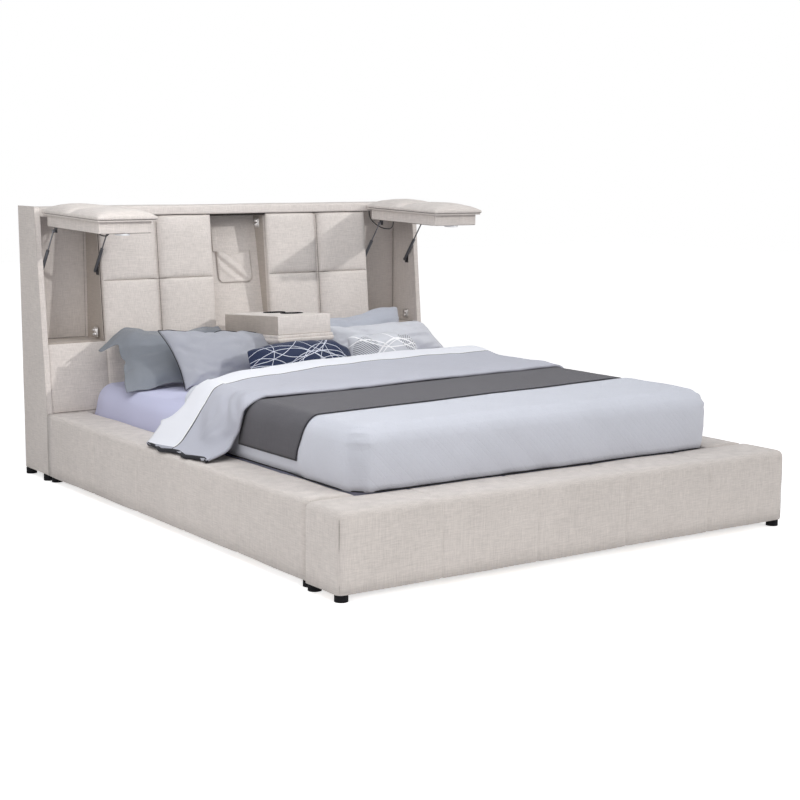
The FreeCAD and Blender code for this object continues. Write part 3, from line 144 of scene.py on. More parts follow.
def distanceTo(tree, u, v, spotU, spotV):
    du = addNode(tree, "Math", u, spotU, operation="SUBTRACT")
    dv = addNode(tree, "Math", v, spotV, operation="SUBTRACT")
    square = addNode(tree, "Math", dv, dv, operation="MULTIPLY")
    total = addNode(tree, "Math", du, du, square, operation="MULTIPLY_ADD")
    return addNode(tree, "Math", total, operation="SQRT")


def clothPlaces(tree):  # metres across and along a cloth, kept on its vertices
    return [addNode(tree, "Attribute", attribute_name=name).outputs["Fac"] for name in ("clothU", "clothV")]


def fabric(name, hexText, pitch=0.0016, slub=0.05, cloud=0.03, bump=0.4, rough=0.88, sheen=0.15, crease=0.0):
    material, tree, shader, place = newMaterial(name, rough, Sheen_Weight=sheen, Sheen_Roughness=0.5)
    shader.inputs["Specular IOR Level"].default_value = 0.25
    level = streaks(tree, place, (26, 26, 380))  # slubs near 38 mm by 2.6 mm, drawn coarser so that they show
    upright = streaks(tree, place, (380, 380, 26))
    patch = streaks(tree, place, (7, 7, 7), 4.0)  # slow change over some 140 mm
    fine = streaks(tree, place, (420, 420, 420), 3.0)
    slubs = addNode(tree, "Math", level, upright, operation="ADD")
    total = 1.0
    for pattern, centre, weight in ((slubs, 1.0, slub * 4), (patch, 0.5, cloud * 4), (fine, 0.5, slub * 2)):
        offset = addNode(tree, "Math", pattern, centre, operation="SUBTRACT")
        total = addNode(tree, "Math", offset, weight, total, operation="MULTIPLY_ADD")
    gray = addNode(tree, "CombineColor", total, total, total)
    inputs = {0: 1.0, 6: paint(hexText), 7: gray}
    color = addNode(tree, "Mix", inputs=inputs, data_type="RGBA", blend_type="MULTIPLY")
    weave = addNode(tree, "Math", threads(tree, place, pitch), 0.00012, 0.0, operation="MULTIPLY_ADD")
    height = addNode(tree, "Math", slubs, 0.0009, weave, operation="MULTIPLY_ADD")
    if crease:
        folds = streaks(tree, place, (9, 5, 9), 3.0)  # soft creases 110 to 200 mm long
        height = addNode(tree, "Math", folds, crease, height, operation="MULTIPLY_ADD")
    coat(tree, shader, color, height, bump)
    return material


def quilted(material, step, depth):  # grooves in diamonds
    tree = material.node_tree
    bump = next(n for n in tree.nodes if n.type == "BUMP")
    total = bump.inputs["Height"].links[0].from_socket
    x, y, z = addNode(tree, "SeparateXYZ", addNode(tree, "TexCoord").outputs["Object"]).outputs
    for signY, signZ in ((1, 1), (-1, 1), (1, -1)):
        part = addNode(tree, "Math", z, signZ, x, operation="MULTIPLY_ADD")
        line = addNode(tree, "Math", y, signY, part, operation="MULTIPLY_ADD")
        turns = addNode(tree, "Math", line, math.pi / step, operation="MULTIPLY")
        wave = addNode(tree, "Math", turns, operation="SINE")
        size = addNode(tree, "Math", wave, operation="ABSOLUTE")
        ridge = addNode(tree, "Math", 1.0, size, operation="SUBTRACT")
        groove = addNode(tree, "Math", ridge, 8.0, operation="POWER")
        total = addNode(tree, "Math", groove, -depth, total, operation="MULTIPLY_ADD")
    tree.links.new(total.outputs[0], bump.inputs["Height"])
    return material


def metal(name, hexText, rough):
    material, tree, shader, place = newMaterial(name, rough, 1.0)
    grain = streaks(tree, place, (30, 30, 900))  # draw lines near 1 mm apart
    share = addNode(tree, "Math", grain, 0.5, operation="MULTIPLY")
    dark = shade(paint(hexText), 0.7)
    color = addNode(tree, "Mix", inputs={0: share, 6: paint(hexText), 7: dark}, data_type="RGBA")
    roughness = addNode(tree, "Math", grain, 0.2, rough - 0.1, operation="MULTIPLY_ADD")
    tree.links.new(roughness.outputs[0], shader.inputs["Roughness"])
    coat(tree, shader, color, grain, 0.2, 0.0002)
    return material


def molded(name, hexText, rough):
    material, tree, shader, place = newMaterial(name, rough)
    grain = streaks(tree, place, (900, 900, 900))  # sparked grain near 1 mm
    share = addNode(tree, "Math", grain, 0.4, operation="MULTIPLY")
    light = shade(paint(hexText), 1.5)
    color = addNode(tree, "Mix", inputs={0: share, 6: paint(hexText), 7: light}, data_type="RGBA")
    coat(tree, shader, color, grain, 0.3, 0.0003)
    return material


def timber(name, lightHex, darkHex):
    material, tree, shader, place = newMaterial(name, 0.6)
    grain = streaks(tree, place, (3, 60, 60), 6.0)  # grain lines near 16 mm apart, along X
    color = addNode(tree, "Mix", inputs={0: grain, 6: paint(lightHex), 7: paint(darkHex)}, data_type="RGBA")
    coat(tree, shader, color, grain, 0.3, 0.0006)
    return material


def litDiffuser(name, lightHex, darkHex):
    material, tree, shader, place = newMaterial(name, 0.35)
    grain = streaks(tree, place, (300, 300, 300))
    color = addNode(tree, "Mix", inputs={0: grain, 6: paint(lightHex), 7: paint(darkHex)}, data_type="RGBA")
    for socket in ("Base Color", "Emission Color"):
        tree.links.new(color.outputs[2], shader.inputs[socket])
    shader.inputs["Emission Strength"].default_value = 6.0
    return material


def arcCloth(name, ground, second, lines, circles, hatch=None):  # fine printed arcs and hatched spots
    material, tree, shader, place = newMaterial(name, 0.85, Sheen_Weight=0.15)
    u, v = clothPlaces(tree)
    fine = streaks(tree, place, (500, 500, 500), 3.0)
    color = addNode(tree, "Mix", inputs={0: fine, 6: paint(ground), 7: paint(second)}, data_type="RGBA")
    for angle, (spotU, spotV, reach), step in (hatch or {}).get("sets", ()):
        sideways = addNode(tree, "Math", v, math.sin(angle), operation="MULTIPLY")
        across = addNode(tree, "Math", u, math.cos(angle), sideways, operation="MULTIPLY_ADD")
        turns = addNode(tree, "Math", across, 2 * math.pi / step, operation="MULTIPLY")
        wave = addNode(tree, "Math", turns, operation="SINE")
        inside = addNode(tree, "Math", distanceTo(tree, u, v, spotU, spotV), reach, operation="LESS_THAN")
        ridge = addNode(tree, "Math", wave, 0.25, operation="GREATER_THAN")
        mask = addNode(tree, "Math", ridge, inside, operation="MULTIPLY")
        share = addNode(tree, "Math", mask, 0.8, operation="MULTIPLY")
        inputs = {0: share, 6: color.outputs[2], 7: paint(hatch["color"])}
        color = addNode(tree, "Mix", inputs=inputs, data_type="RGBA")
    total = None
    for centreU, centreV, radius, width in circles:
        apart = addNode(tree, "Math", distanceTo(tree, u, v, centreU, centreV), radius, operation="SUBTRACT")
        off = addNode(tree, "Math", apart, operation="ABSOLUTE")
        line = addNode(tree, "Math", off, width, operation="LESS_THAN")
        total = line if total is None else addNode(tree, "Math", total, line, operation="MAXIMUM")
    color = addNode(tree, "Mix", inputs={0: total, 6: color.outputs[2], 7: paint(lines)}, data_type="RGBA")
    ink = addNode(tree, "Math", total, 0.0004, operation="MULTIPLY")
    height = addNode(tree, "Math", threads(tree, place, 0.0012), 0.0001, ink, operation="MULTIPLY_ADD")
    coat(tree, shader, color, height, 0.5)
    return material


# woven polyester linen with slubs: matt, with short streaks both ways; the threads are drawn 2.2 mm apart,
# some four times coarser than real ones, so that they show
linen = fabric("linen", "#d6cfca", 0.0022, 0.09, 0.034, 0.6)
linenPaintedShade = fabric("linenPaintedShade", "#b5aca4", 0.0022, 0.09, 0.034, 0.6)  # the same weave, darker: painted shade for the insides of the bins and the armrest's sides
paintedShadowCloth = fabric("paintedShadowGap", "#2a2522", 0.0022, 0.03, 0.02, 0.3)  # near-black cloth: painted shadow under the middle bin's cap
paintedSeamShade = fabric("paintedSeamShade", "#5d534b", 0.0022, 0.04, 0.02, 0.3)  # linen darkened for thin lines along seams: painted shade in seams, gaps and corners
# woven cotton: smooth percale sheet, brushed duvet, sateen shams with a faint sheen, washed and creased pillows
lilac = fabric("sheetLilac", "#c9cbe6", 0.0007, 0.008, 0.015, 0.35, 0.8, 0.1, 0.006)
duvetCloth = fabric("duvetGrey", "#d3d6e0", 0.0008, 0.01, 0.02, 0.45, 0.75, 0.15, 0.008)
shamCloth = fabric("shamGrey", "#7f848c", 0.0007, 0.012, 0.03, 0.5, 0.7, 0.2, 0.010)
shamBlue = fabric("shamBlue", "#b3b7c2", 0.0007, 0.012, 0.03, 0.5, 0.7, 0.2, 0.010)
pillowCloth = fabric("pillowGrey", "#a9abb4", 0.0007, 0.01, 0.03, 0.65, 0.75, 0.15, 0.018)
pillowLight = fabric("pillowLight", "#d3d5dc", 0.0007, 0.01, 0.03, 0.65, 0.75, 0.15, 0.018)
blanketCloth = fabric("blanket", "#5d5c61", 0.0018, 0.04, 0.04, 0.6, 0.92, 0.1)  # felted wool, dull and dark
pipingCloth = fabric("piping", "#2f2f33", 0.001, 0.02, 0.02, 0.3, 0.9, 0.0)  # folded bias tape, a black line
wood = timber("slatWood", "#d9bd94", "#b28e5e")  # planed pine, warm long grain
steel = metal("steel", "#8f9195", 0.45)  # zinc-plated steel, grey and satin
chrome = metal("chrome", "#f0eeed", 0.36)  # nickel-plated steel, bright soft glints
rodSteel = metal("rodSteel", "#77787c", 0.35)  # ground steel rod
darkSteel = metal("darkSteel", "#55565a", 0.4)  # blackened steel
plastic = molded("blackPlastic", "#131316", 0.8)  # moulded polypropylene, nearly black and dull
plastic.node_tree.nodes["Principled BSDF"].inputs["Specular IOR Level"].default_value = 0.15
cableSkin = molded("cableBlack", "#1d1d20", 0.5)  # extruded PVC
strutSkin = molded("strutGrey", "#4b4d52", 0.35)  # powder-coated tube


# mesh helpers
def addPiece(name, bm, material, body, replaced=(), more=()):
    data = bpy.data.meshes.new(name)
    bmesh.ops.recalc_face_normals(bm, faces=bm.faces)
    for face in bm.faces:
        face.smooth = True
    bm.to_mesh(data)
    bm.free()
    obj = showObject(name, data)
    for item in (material, *more):
        data.materials.append(item)
    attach(obj, body)
    if replaced:
        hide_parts(*replaced)
    return obj


def sharpen(obj, degrees):
    obj.data.set_sharp_from_angle(angle=math.radians(degrees))


def applyAll(obj):
    bpy.context.view_layer.update()
    graph = bpy.context.evaluated_depsgraph_get()
    made = bpy.data.meshes.new_from_object(obj.evaluated_get(graph))
    old = obj.data
    obj.modifiers.clear()
    obj.data = made
    made.name = obj.name
    bpy.data.meshes.remove(old)


def thicken(obj, thickness, offset):
    solid = obj.modifiers.new("thickness", "SOLIDIFY")
    solid.thickness, solid.offset = thickness, offset
    applyAll(obj)


def addInto(whole, part):
    data = bpy.data.meshes.new("part")
    part.to_mesh(data)
    part.free()
    whole.from_mesh(data)
    bpy.data.meshes.remove(data)


def joined(parts):
    whole = bmesh.new()
    for part in parts:
        addInto(whole, part)
    return whole


def boxMesh(low, high):
    bm = bmesh.new()
    bmesh.ops.create_cube(bm, size=1)
    size = high - low
    for v in bm.verts:
        v.co = Vector(low[i] + (v.co[i] + 0.5) * size[i] for i in range(3))
    return bm


def cutAlong(bm, point, direction, **settings):
    everything = bm.verts[:] + bm.edges[:] + bm.faces[:]
    bmesh.ops.bisect_plane(bm, geom=everything, dist=1e-6, plane_co=point, plane_no=direction, **settings)


def sliceMesh(bm, axis, positions):
    direction = Vector((0, 0, 0))
    direction[axis] = 1
    for position in positions:
        cutAlong(bm, direction * position, direction)


def bevelEdges(bm, edges, offset, segments):
    bmesh.ops.bevel(
        bm, geom=edges, offset=offset, segments=segments, profile=0.5, affect="EDGES", material=-1,
    )


def spread(low, high, step):
    count = max(1, round((high - low) / step))
    return [low + (high - low) * i / count for i in range(1, count)]


def middle(edge):
    return (edge.verts[0].co + edge.verts[1].co) / 2


def uneven(bm, height, scale):  # cloth is never quite flat
    bm.normal_update()
    for v in bm.verts:
        v.co += v.normal * height * noise.noise(v.co * scale)


def skin(bm, lines, closed=False):  # faces between neighbouring lines of vertices
    for a, b in zip(lines, lines[1:]):
        pairs = list(zip(a, b))
        for (a0, b0), (a1, b1) in zip(pairs, pairs[1:] + (pairs[:1] if closed else [])):
            bm.faces.new((a0, b0, b1, a1))


# a covered box: rounded edges, sewn seams as (axis, position) and a soft unevenness
def softBox(low, high, radius, pick=None, grid=0.06, seams=(), depth=0.0025, wave=0.0012, scale=6.0, steps=5):
    bm = boxMesh(low, high)
    bevelEdges(bm, [e for e in bm.edges if pick is None or pick(e)], radius, steps)
    for axis in range(3):
        sliceMesh(bm, axis, spread(low[axis], high[axis], grid))
    for axis, position in seams:
        sliceMesh(bm, axis, [position + s for s in (-0.012, -0.004, 0, 0.004, 0.012)])
    bm.normal_update()
    moves = []
    for v in bm.verts:
        push = wave * noise.noise(v.co * scale)
        for axis, position in seams:
            off = abs(v.co[axis] - position)
            if off < 0.0125 and abs(v.normal[axis]) < 0.5:
                push -= depth * (1 - off / 0.0125) ** 2
        moves.append(v.normal * push)
    for v, move in zip(bm.verts, moves):
        v.co += move
    return bm


def stations(edges, dense=(0.0015, 0.004, 0.009, 0.018, 0.034, 0.06), step=0.035):
    made = []
    for low, high in zip(edges, edges[1:]):
        half = (high - low) / 2
        near = [d for d in dense if d < half * 0.8]
        inner = spread(low + near[-1], high - near[-1], step)
        made += [low] + [low + d for d in near] + inner + [high - d for d in reversed(near)]
    return made + [edges[-1]]


# a cushion sewn in squares: columns and rows say where the seams run, place lays it on its object
def squares(
    columns, rows, place, valley, crown, acrossWidth=0.012, upWidth=0.006,
    pull=0.0, rough=0.0, seed=0.0, dip=0.0, pinch=0.0,
):
    xs, ups = stations(columns), stations(rows)
    centre, half = (columns[0] + columns[-1]) / 2, (columns[-1] - columns[0]) / 2
    bm = bmesh.new()

    def swell(value, edges, width):
        low = max(e for e in edges if e <= value + 1e-9) if value < edges[-1] else edges[-2]
        high = min(e for e in edges if e > low + 1e-9)
        near = min(value - low, high - value)
        share = (value - low) / (high - low)
        return 1 - math.exp(-near / width), 4 * share * (1 - share)

    def raised(x, up):
        ex, cx = swell(x, columns, acrossWidth)
        eu, cu = swell(up, rows, upWidth)
        out = valley + crown * (0.55 * ex * eu + 0.45 * (cx ** 0.6) * (cu ** 0.6) * ex * eu)
        out += rough * noise.noise(Vector((x * 9 + seed, up * 9, seed))) * ex * eu
        for edge in columns[1:-1]:
            out -= dip * math.exp(-(abs(x - edge) / 0.02) ** 1.4)
        for edge in rows[1:-1]:
            out -= pinch * math.exp(-(abs(up - edge) / 0.022) ** 1.4) * (0.35 + 0.65 * cx)
        drawn = ((x - centre) / half) ** 3 * pull * (1 - min(1, cu * 2.2) ** 0.5) if pull else 0.0
        return place(x - drawn, up, valley if x in (columns[0], columns[-1]) else out)

    grid = [[bm.verts.new(raised(x, up)) for up in ups] for x in xs]
    skin(bm, grid)
    ring = [line[0] for line in grid] + grid[-1][1:] + [line[-1] for line in reversed(grid[:-1])]
    ring += reversed(grid[0][1:-1])
    flat = [(x, ups[0]) for x in xs] + [(xs[-1], u) for u in ups[1:]]
    flat += [(x, ups[-1]) for x in reversed(xs[:-1])] + [(xs[0], u) for u in reversed(ups[1:-1])]
    levels = [ring]
    for share, bulge in ((0.5, 0.0015), (0.0, 0.0)):
        layer = []
        for x, up in flat:
            sideways = bulge * (1 if x > centre else -1) if x in (xs[0], xs[-1]) else 0
            layer.append(bm.verts.new(place(x + sideways, up, valley * share)))
        levels.append(layer)
    skin(bm, levels, closed=True)
    bm.faces.new(levels[-1])
    return bm


# where the leaning face, the flap hinges, the armrest hinge and the bin's back lie
faceY, faceZ, lean = 1.001, 0.28, math.radians(5.5)
hingeY, hingeZ, droop = 1.07561, 1.090326, math.radians(1.3)
armY, armZ, rise = 1.025347, 0.568326, math.radians(3.4)
backY, backZ, slope = 1.104154, 0.5643, math.radians(10.9)


def tube(points, wide, tall, sides=10):
    bm = bmesh.new()
    layers = []
    turns = [2 * math.pi * n / sides for n in range(sides)]
    for k, p in enumerate(points):
        ahead = (points[min(k + 1, len(points) - 1)] - points[max(k - 1, 0)]).normalized()
        over = Vector((0, 0, 1)) if abs(ahead.z) < 0.9 else Vector((0, 1, 0))
        a = ahead.cross(over).normalized()
        b = a.cross(ahead).normalized()
        taper = 0.4 if k in (0, len(points) - 1) else 1.0
        spots = [p + (a * wide * math.cos(t) + b * tall * math.sin(t)) * taper for t in turns]
        layers.append([bm.verts.new(spot) for spot in spots])
    skin(bm, layers, closed=True)
    for end in (layers[0], layers[-1]):
        bm.faces.new(end)
    return bm


# tubes along seams and hems; the default darkened seam linen is painted shade
def stitch(name, body, runs, radius, material=paintedSeamShade):
    parts = [tube(points, radius, radius, 6) for points in runs]
    return addPiece(name, joined(parts), material, body)


def turned(profile, steps):  # radius and height pairs, spun about Z
    bm = bmesh.new()
    line = [bm.verts.new((radius, 0, height)) for radius, height in profile]
    edges = [bm.edges.new(pair) for pair in zip(line, line[1:])]
    bmesh.ops.spin(
        bm, geom=line + edges, cent=(0, 0, 0), axis=(0, 0, 1), angle=2 * math.pi, steps=steps, use_merge=True,
    )
    bmesh.ops.remove_doubles(bm, verts=bm.verts, dist=1e-6)
    return bm


def rounded(radius, length, centre, axis, edge, segments=28):
    bm = bmesh.new()
    bmesh.ops.create_cone(bm, cap_ends=True, segments=segments, radius1=radius, radius2=radius, depth=length)
    bevelEdges(bm, [e for e in bm.edges if abs(e.verts[0].co.z - e.verts[1].co.z) < 1e-6], edge, 2)
    turn = Vector((0, 0, 1)).rotation_difference(Vector(axis)).to_matrix()
    for v in bm.verts:
        v.co = turn @ v.co + centre
    return bm


def run(place, a, b, out=0.0, count=24):
    steps = [k / count for k in range(count + 1)]
    return [place(a[0] + (b[0] - a[0]) * t, a[1] + (b[1] - a[1]) * t, out) for t in steps]


def onFace(depth):
    c, s = math.cos(lean), math.sin(lean)

    def place(x, up, out):
        d = depth - out
        return Vector((x, faceY + d * c + up * s, faceZ - d * s + up * c))
    return place


def onFlap(x, up, out):
    c, s = math.cos(droop), math.sin(droop)
    return Vector((x, hingeY - up * c - out * s, hingeZ - up * s + out * c))


def onArm(x, up, out):
    c, s = math.cos(rise), math.sin(rise)
    return Vector((x, armY - up * c + out * s, armZ + up * s + out * c))


def onBack(x, up, out):
    c, s = math.cos(slope), math.sin(slope)
    return Vector((x, backY - out * c + up * s, backZ + out * s + up * c))


def placed(bm, place):
    for v in bm.verts:
        v.co = place(*v.co)
    return bm


# lamp cables, first because they are cords; "way" has shares of the depth and of the drop
cableData = {
    "diameter": 0.005, "x": 0.7, "ends": ((0.025, 1.08), (0.175, -0.0472)), "free": 0.00015, "drop": 0.1016,
    "way": ((0.0, 0.30), (0.29, 0.62), (0.65, 0.78), (1.0, 0.72)),
}


def makeCable(side, hand):
    name, x = "lampCable" + side, hand * cableData["x"]
    (behind, height), (up, out) = cableData["ends"]
    start = Vector((x, hingeY + behind, height - cableData["free"]))
    end = onFlap(x, up, out - cableData["free"])
    curve = bpy.data.curves.new(name, "CURVE")
    curve.dimensions = "3D"
    spline = curve.splines.new("NURBS")
    points = [start]
    for share, low in cableData["way"]:
        points.append(Vector((x, start.y + share * (end.y - start.y), height - low * cableData["drop"])))
    points.append(end)
    spline.points.add(len(points) - 1)
    for point, target in zip(spline.points, points):
        point.co = (*target, 1)
    spline.order_u = 3
    spline.use_endpoint_u = True
    curve.bevel_depth = cableData["diameter"] / 2
    curve.bevel_resolution = 4
    curve.resolution_u = 24
    curve.materials.append(cableSkin)
    centreLine = curve.copy()
    centreLine.bevel_depth = 0
    meshes = []
    for shape in (centreLine, curve):
        source = showObject(name, shape)
        bpy.context.view_layer.update()
        graph = bpy.context.evaluated_depsgraph_get()
        meshes.append(bpy.data.meshes.new_from_object(source.evaluated_get(graph)))
        bpy.data.objects.remove(source)
    path = [v.co.copy() for v in meshes[0].vertices]
    length = sum((b - a).length for a, b in zip(path, path[1:]))
    cable = showObject(name, meshes[1])
    for polygon in meshes[1].polygons:
        polygon.use_smooth = True
    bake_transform(cable, "bed", "flap_" + side.lower(), start=points[0], end=points[-1])
    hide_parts("light_cables")
    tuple(points[0])
    return length


cableLengths = [makeCable("Left", -1), makeCable("Right", 1)]
print("cables", [round(n, 4) for n in cableLengths])

# platform covers
footboardData = {
    "low": mm(-965, -1240, 25), "high": mm(965, -1034, 280), "seams": (-0.58, -0.193, 0.193, 0.58),
    "corner": (0.9581, -1.2331), "cornerShade": (0.028, 0.228, 12),
}
footboard = softBox(
    footboardData["low"], footboardData["high"], 0.024,
    pick=lambda e: not (e.verts[0].co.z < 0.03 and e.verts[1].co.z < 0.03),
    seams=[(0, x) for x in footboardData["seams"]], depth=0.003, wave=0.003, scale=5.0, grid=0.05,
)
footboardObj = addPiece("footboardCover", footboard, linen, "bed", ["footboard_cover"])
# dark lines down the footboard's front corners: painted shade in the corner folds
x, y = footboardData["corner"]
low, tall, steps = footboardData["cornerShade"]
cornerLines = [[Vector((hand * x, y, low + tall * k / steps)) for k in range(steps + 1)] for hand in (-1, 1)]
stitch("footboardCornerShade", "bed", cornerLines, 0.0008)
railData = {
    "inner": 0.77, "outer": 0.95, "y": (-1.034, 1.001), "z": (0.025, 0.28),
    "seams": (0.552, 0.169, -0.205, -0.59),
}
for side, hand in (("left", -1), ("right", 1)):
    low, high = (
        Vector((x, railData["y"][end], railData["z"][end]))
        for end, x in enumerate(sorted((hand * railData["outer"], hand * railData["inner"])))
    )
    rail = softBox(
        low, high, 0.018, pick=lambda e: middle(e).z > 0.27 and abs(e.verts[0].co.y - e.verts[1].co.y) > 0.1,
        seams=[(1, y) for y in railData["seams"]], depth=0.0025, wave=0.0025, scale=5.0, grid=0.05,
    )
    railObj = addPiece("railCover" + side.capitalize(), rail, linen, "bed", ["rail_cover_" + side])
print("platform done")

# headboard case: outlines in millimetres of Y and Z, drawn out along X
wingData = {"outline": ((1001, 25), (1240, 25), (1240, 1118), (1081.7, 1118), (1001, 280)), "x": (0.922, 0.95)}
capData = {"outline": ((1078.0, 1080), (1240, 1080), (1240, 1118), (1081.7, 1118)), "half": 0.9215}


def prismMesh(outline, low, high, radius, segments, pick):
    bm = bmesh.new()
    ends = [[bm.verts.new((x, y / 1000, z / 1000)) for y, z in outline] for x in (low, high)]
    for end in ends:
        bm.faces.new(end)
    for (a, b), (c, d) in zip(zip(*ends), list(zip(*ends))[1:] + [(ends[0][0], ends[1][0])]):
        bm.faces.new((a, c, d, b))
    bm.normal_update()
    bevelEdges(bm, [e for e in bm.edges if pick(e)], radius, segments)
    return bm


for side, hand in (("left", -1), ("right", 1)):
    low, high = sorted(hand * x for x in wingData["x"])
    wing = prismMesh(wingData["outline"], low, high, 0.005, 3, lambda e: middle(e).z > 0.03)
    sliceMesh(wing, 1, spread(1.001, 1.24, 0.06))
    sliceMesh(wing, 2, spread(0.025, 1.118, 0.06))
    uneven(wing, 0.0012, 7)
    wingObj = addPiece("wing" + side.capitalize(), wing, linen, "bed", ["wing_" + side])
    sharpen(wingObj, 50)
half = capData["half"]
topCap = prismMesh(
    capData["outline"], -half, half, 0.007, 4, lambda e: abs(e.verts[0].co.x - e.verts[1].co.x) > 1,
)
sliceMesh(topCap, 0, spread(-half, half, 0.05))
uneven(topCap, 0.0014, 6)
addPiece("topCap", topCap, linen, "bed", ["top_cap"])
backPanel = softBox(mm(-921.5, 1226.2, 25), mm(921.5, 1240, 1079.8), 0.004, wave=0.0008, grid=0.1, steps=2)
addPiece("backPanel", backPanel, linen, "bed", ["back_panel"])

# square cushions on the headboard face
panelData = {
    "rows": [0.0, (0.812 - 0.28) / math.cos(lean), (1.08 - 0.28) / math.cos(lean) - 0.002], "depth": 0.030,
    "columns": {"left": [-0.6605, -0.4, -0.1405], "right": [0.1405, 0.4, 0.6605]},
    "seed": {"left": 3, "right": 9},
}
onPanel = onFace(panelData["depth"])
for side, columns in panelData["columns"].items():
    rows = panelData["rows"]
    mesh = squares(
        columns, rows, onPanel, 0.0195, 0.0165, acrossWidth=0.012, upWidth=0.004, rough=0.002,
        seed=panelData["seed"][side], dip=0.015,
    )
    cap = side.capitalize()
    panelObj = addPiece("panelCushion" + cap, mesh, linen, "bed", ["panel_cushion_" + side])
    # dark lines along the seams between the squares: painted shade in the seam valleys
    acrossLine = run(onPanel, (columns[0] + 0.002, rows[1]), (columns[-1] - 0.002, rows[1]), 0.0198, 60)
    uprightLine = run(onPanel, (columns[1], rows[0] + 0.006), (columns[1], rows[2] - 0.006), 0.0192, 90)
    stitch("panelSeamShade" + cap, "bed", [acrossLine, uprightLine], 0.0011)
padData = {
    "rows": [0.0005, (0.562 - 0.28) / math.cos(lean) - 0.0012],
    "pads": ((-0.9212, -0.6615, 0.032), (-0.1395, 0.1395, 0.024), (0.6615, 0.9212, 0.032)),
}
padParts = []
for low, high, depth in padData["pads"]:
    padParts.append(squares(
        [low, high], padData["rows"], onFace(depth), 0.019, 0.006,
        acrossWidth=0.012, upWidth=0.008, rough=0.003, seed=low * 10,
    ))
padObj = addPiece("lowerPads", joined(padParts), linen, "bed", ["lower_panels"])
binData = {"x": (0.6722, 0.9212), "y": 1.2252, "z": (0.565, 1.079), "floor": 0.5645}
# dark lines in the bins' back corners, along their floors and beside the dividers' front edges: painted shade
# in the corners
binShadeLines = []
for hand in (-1, 1):
    for x in binData["x"]:
        binShadeLines.append([Vector((hand * x, binData["y"], z)) for z in binData["z"]])
    binShadeLines.append([Vector((hand * x, binData["y"], binData["floor"])) for x in binData["x"]])
    binShadeLines.append([onFace(0.0)(hand * 0.6625, 0.285 + 0.52 * k / 20, -0.031) for k in range(21)])
stitch("binCornerShade", "bed", binShadeLines, 0.0013)
print("headboard done")

# flaps: half widths and reaches from the hinge, in metres
flapData = {
    "x": 0.792, "cushion": 0.1262, "rows": [0.004, 0.254, 0.5458], "board": (0.1235, 0.004, 0.5420),
    "box": (0.112, 0.024, 0.5240), "seam": 0.104,
    "seamShadeLoops": ((0.1245, 0.02, 0.5440, 0.0072), (0.1095, 0.03, 0.5215, -0.0465)),
}
for side, hand in (("left", -1), ("right", 1)):
    cx = hand * flapData["x"]
    body = "flap_" + side
    cap = side.capitalize()
    cushion = squares(
        [cx - flapData["cushion"], cx + flapData["cushion"]], flapData["rows"],
        lambda x, up, out: onFlap(x, up, 0.0078 + out), 0.012, 0.0290,
        acrossWidth=0.022, upWidth=0.012, pull=0.004, rough=0.004, seed=hand * 5, pinch=0.012,
    )
    cushionObj = addPiece("flapCushion" + cap, cushion, linen, body, ["flap_cushion_" + side])
    half, near, far = flapData["board"]
    board = softBox(
        Vector((cx - half, near, -0.0012)), Vector((cx + half, far, 0.0079)), 0.002,
        grid=0.08, wave=0.0004, steps=3,
    )
    addPiece("flapBoard" + cap, placed(board, onFlap), linen, body, ["flap_board_" + side])
    # dark loops round the cushion's foot and round the box: painted shade in the gaps between the layers
    runs = []
    for half, near, far, out in flapData["seamShadeLoops"]:
        loop = [(cx - half, near), (cx - half, far), (cx + half, far), (cx + half, near)]
        runs += [run(onFlap, a, b, out) for a, b in zip(loop, loop[1:])]
    stitch("flapSeamShade" + cap, body, runs, 0.0014)
    half, near, far = flapData["box"]
    box = softBox(
        Vector((cx - half, near, -0.0472)), Vector((cx + half, far, -0.0014)), 0.0035, grid=0.05,
        seams=[(0, cx - flapData["seam"]), (0, cx + flapData["seam"])], depth=0.0012, wave=0.001, steps=3,
    )
    addPiece("flapBox" + cap, placed(box, onFlap), linen, body, ["flap_box_" + side])

# reading lights: radius and height from the flap's face, the glass inside the groove at 26.7 mm
lightData = {
    "reach": 0.492, "glass": 0.0267, "sides": 48,
    "profile": (
        (0.0, -0.0553), (0.020, -0.0552), (0.0262, -0.0551), (0.0268, -0.0548), (0.0272, -0.0553),
        (0.0285, -0.0556), (0.03, -0.0548), (0.03, -0.0474), (0.0, -0.0474),
    ),
}
lampWhite = litDiffuser("lampGlass", "#f6f6f2", "#e8e9ea")  # opal acrylic, lit from behind
lampRim = molded("lampRim", "#dfe0e2", 0.4)  # moulded ABS, soft white
for side, hand in (("left", -1), ("right", 1)):
    light = turned(lightData["profile"], lightData["sides"])
    for face in light.faces:
        spot = face.calc_center_median()
        face.material_index = 1 if spot.xy.length > lightData["glass"] or spot.z > -0.05 else 0
    for v in light.verts:
        v.co = onFlap(hand * flapData["x"] + v.co.x, lightData["reach"] + v.co.y, v.co.z)
    name = "flapLight" + side.capitalize()
    lightObj = addPiece(name, light, lampWhite, "flap_" + side, ["flap_light_" + side], more=[lampRim])
    sharpen(lightObj, 50)
print("flaps done")

# armrest
armData = {
    "low": Vector((-0.128, 0.043, 0.0013)), "high": Vector((0.128, 0.498, 0.0812)),
    "seams": [(0, -0.121), (0, 0.121), (1, 0.050), (1, 0.491)],
    "cushion": [-0.1343, 0.1343], "rows": [0.004, 0.244, 0.5078],
}
armBox = softBox(
    armData["low"], armData["high"], 0.004, grid=0.032,
    seams=armData["seams"], depth=0.0014, wave=0.0014, scale=8, steps=3,
)
placed(armBox, onArm)
armObj = addPiece("armrestBox", armBox, linen, "armrest", ["armrest_box"], more=[linenPaintedShade])
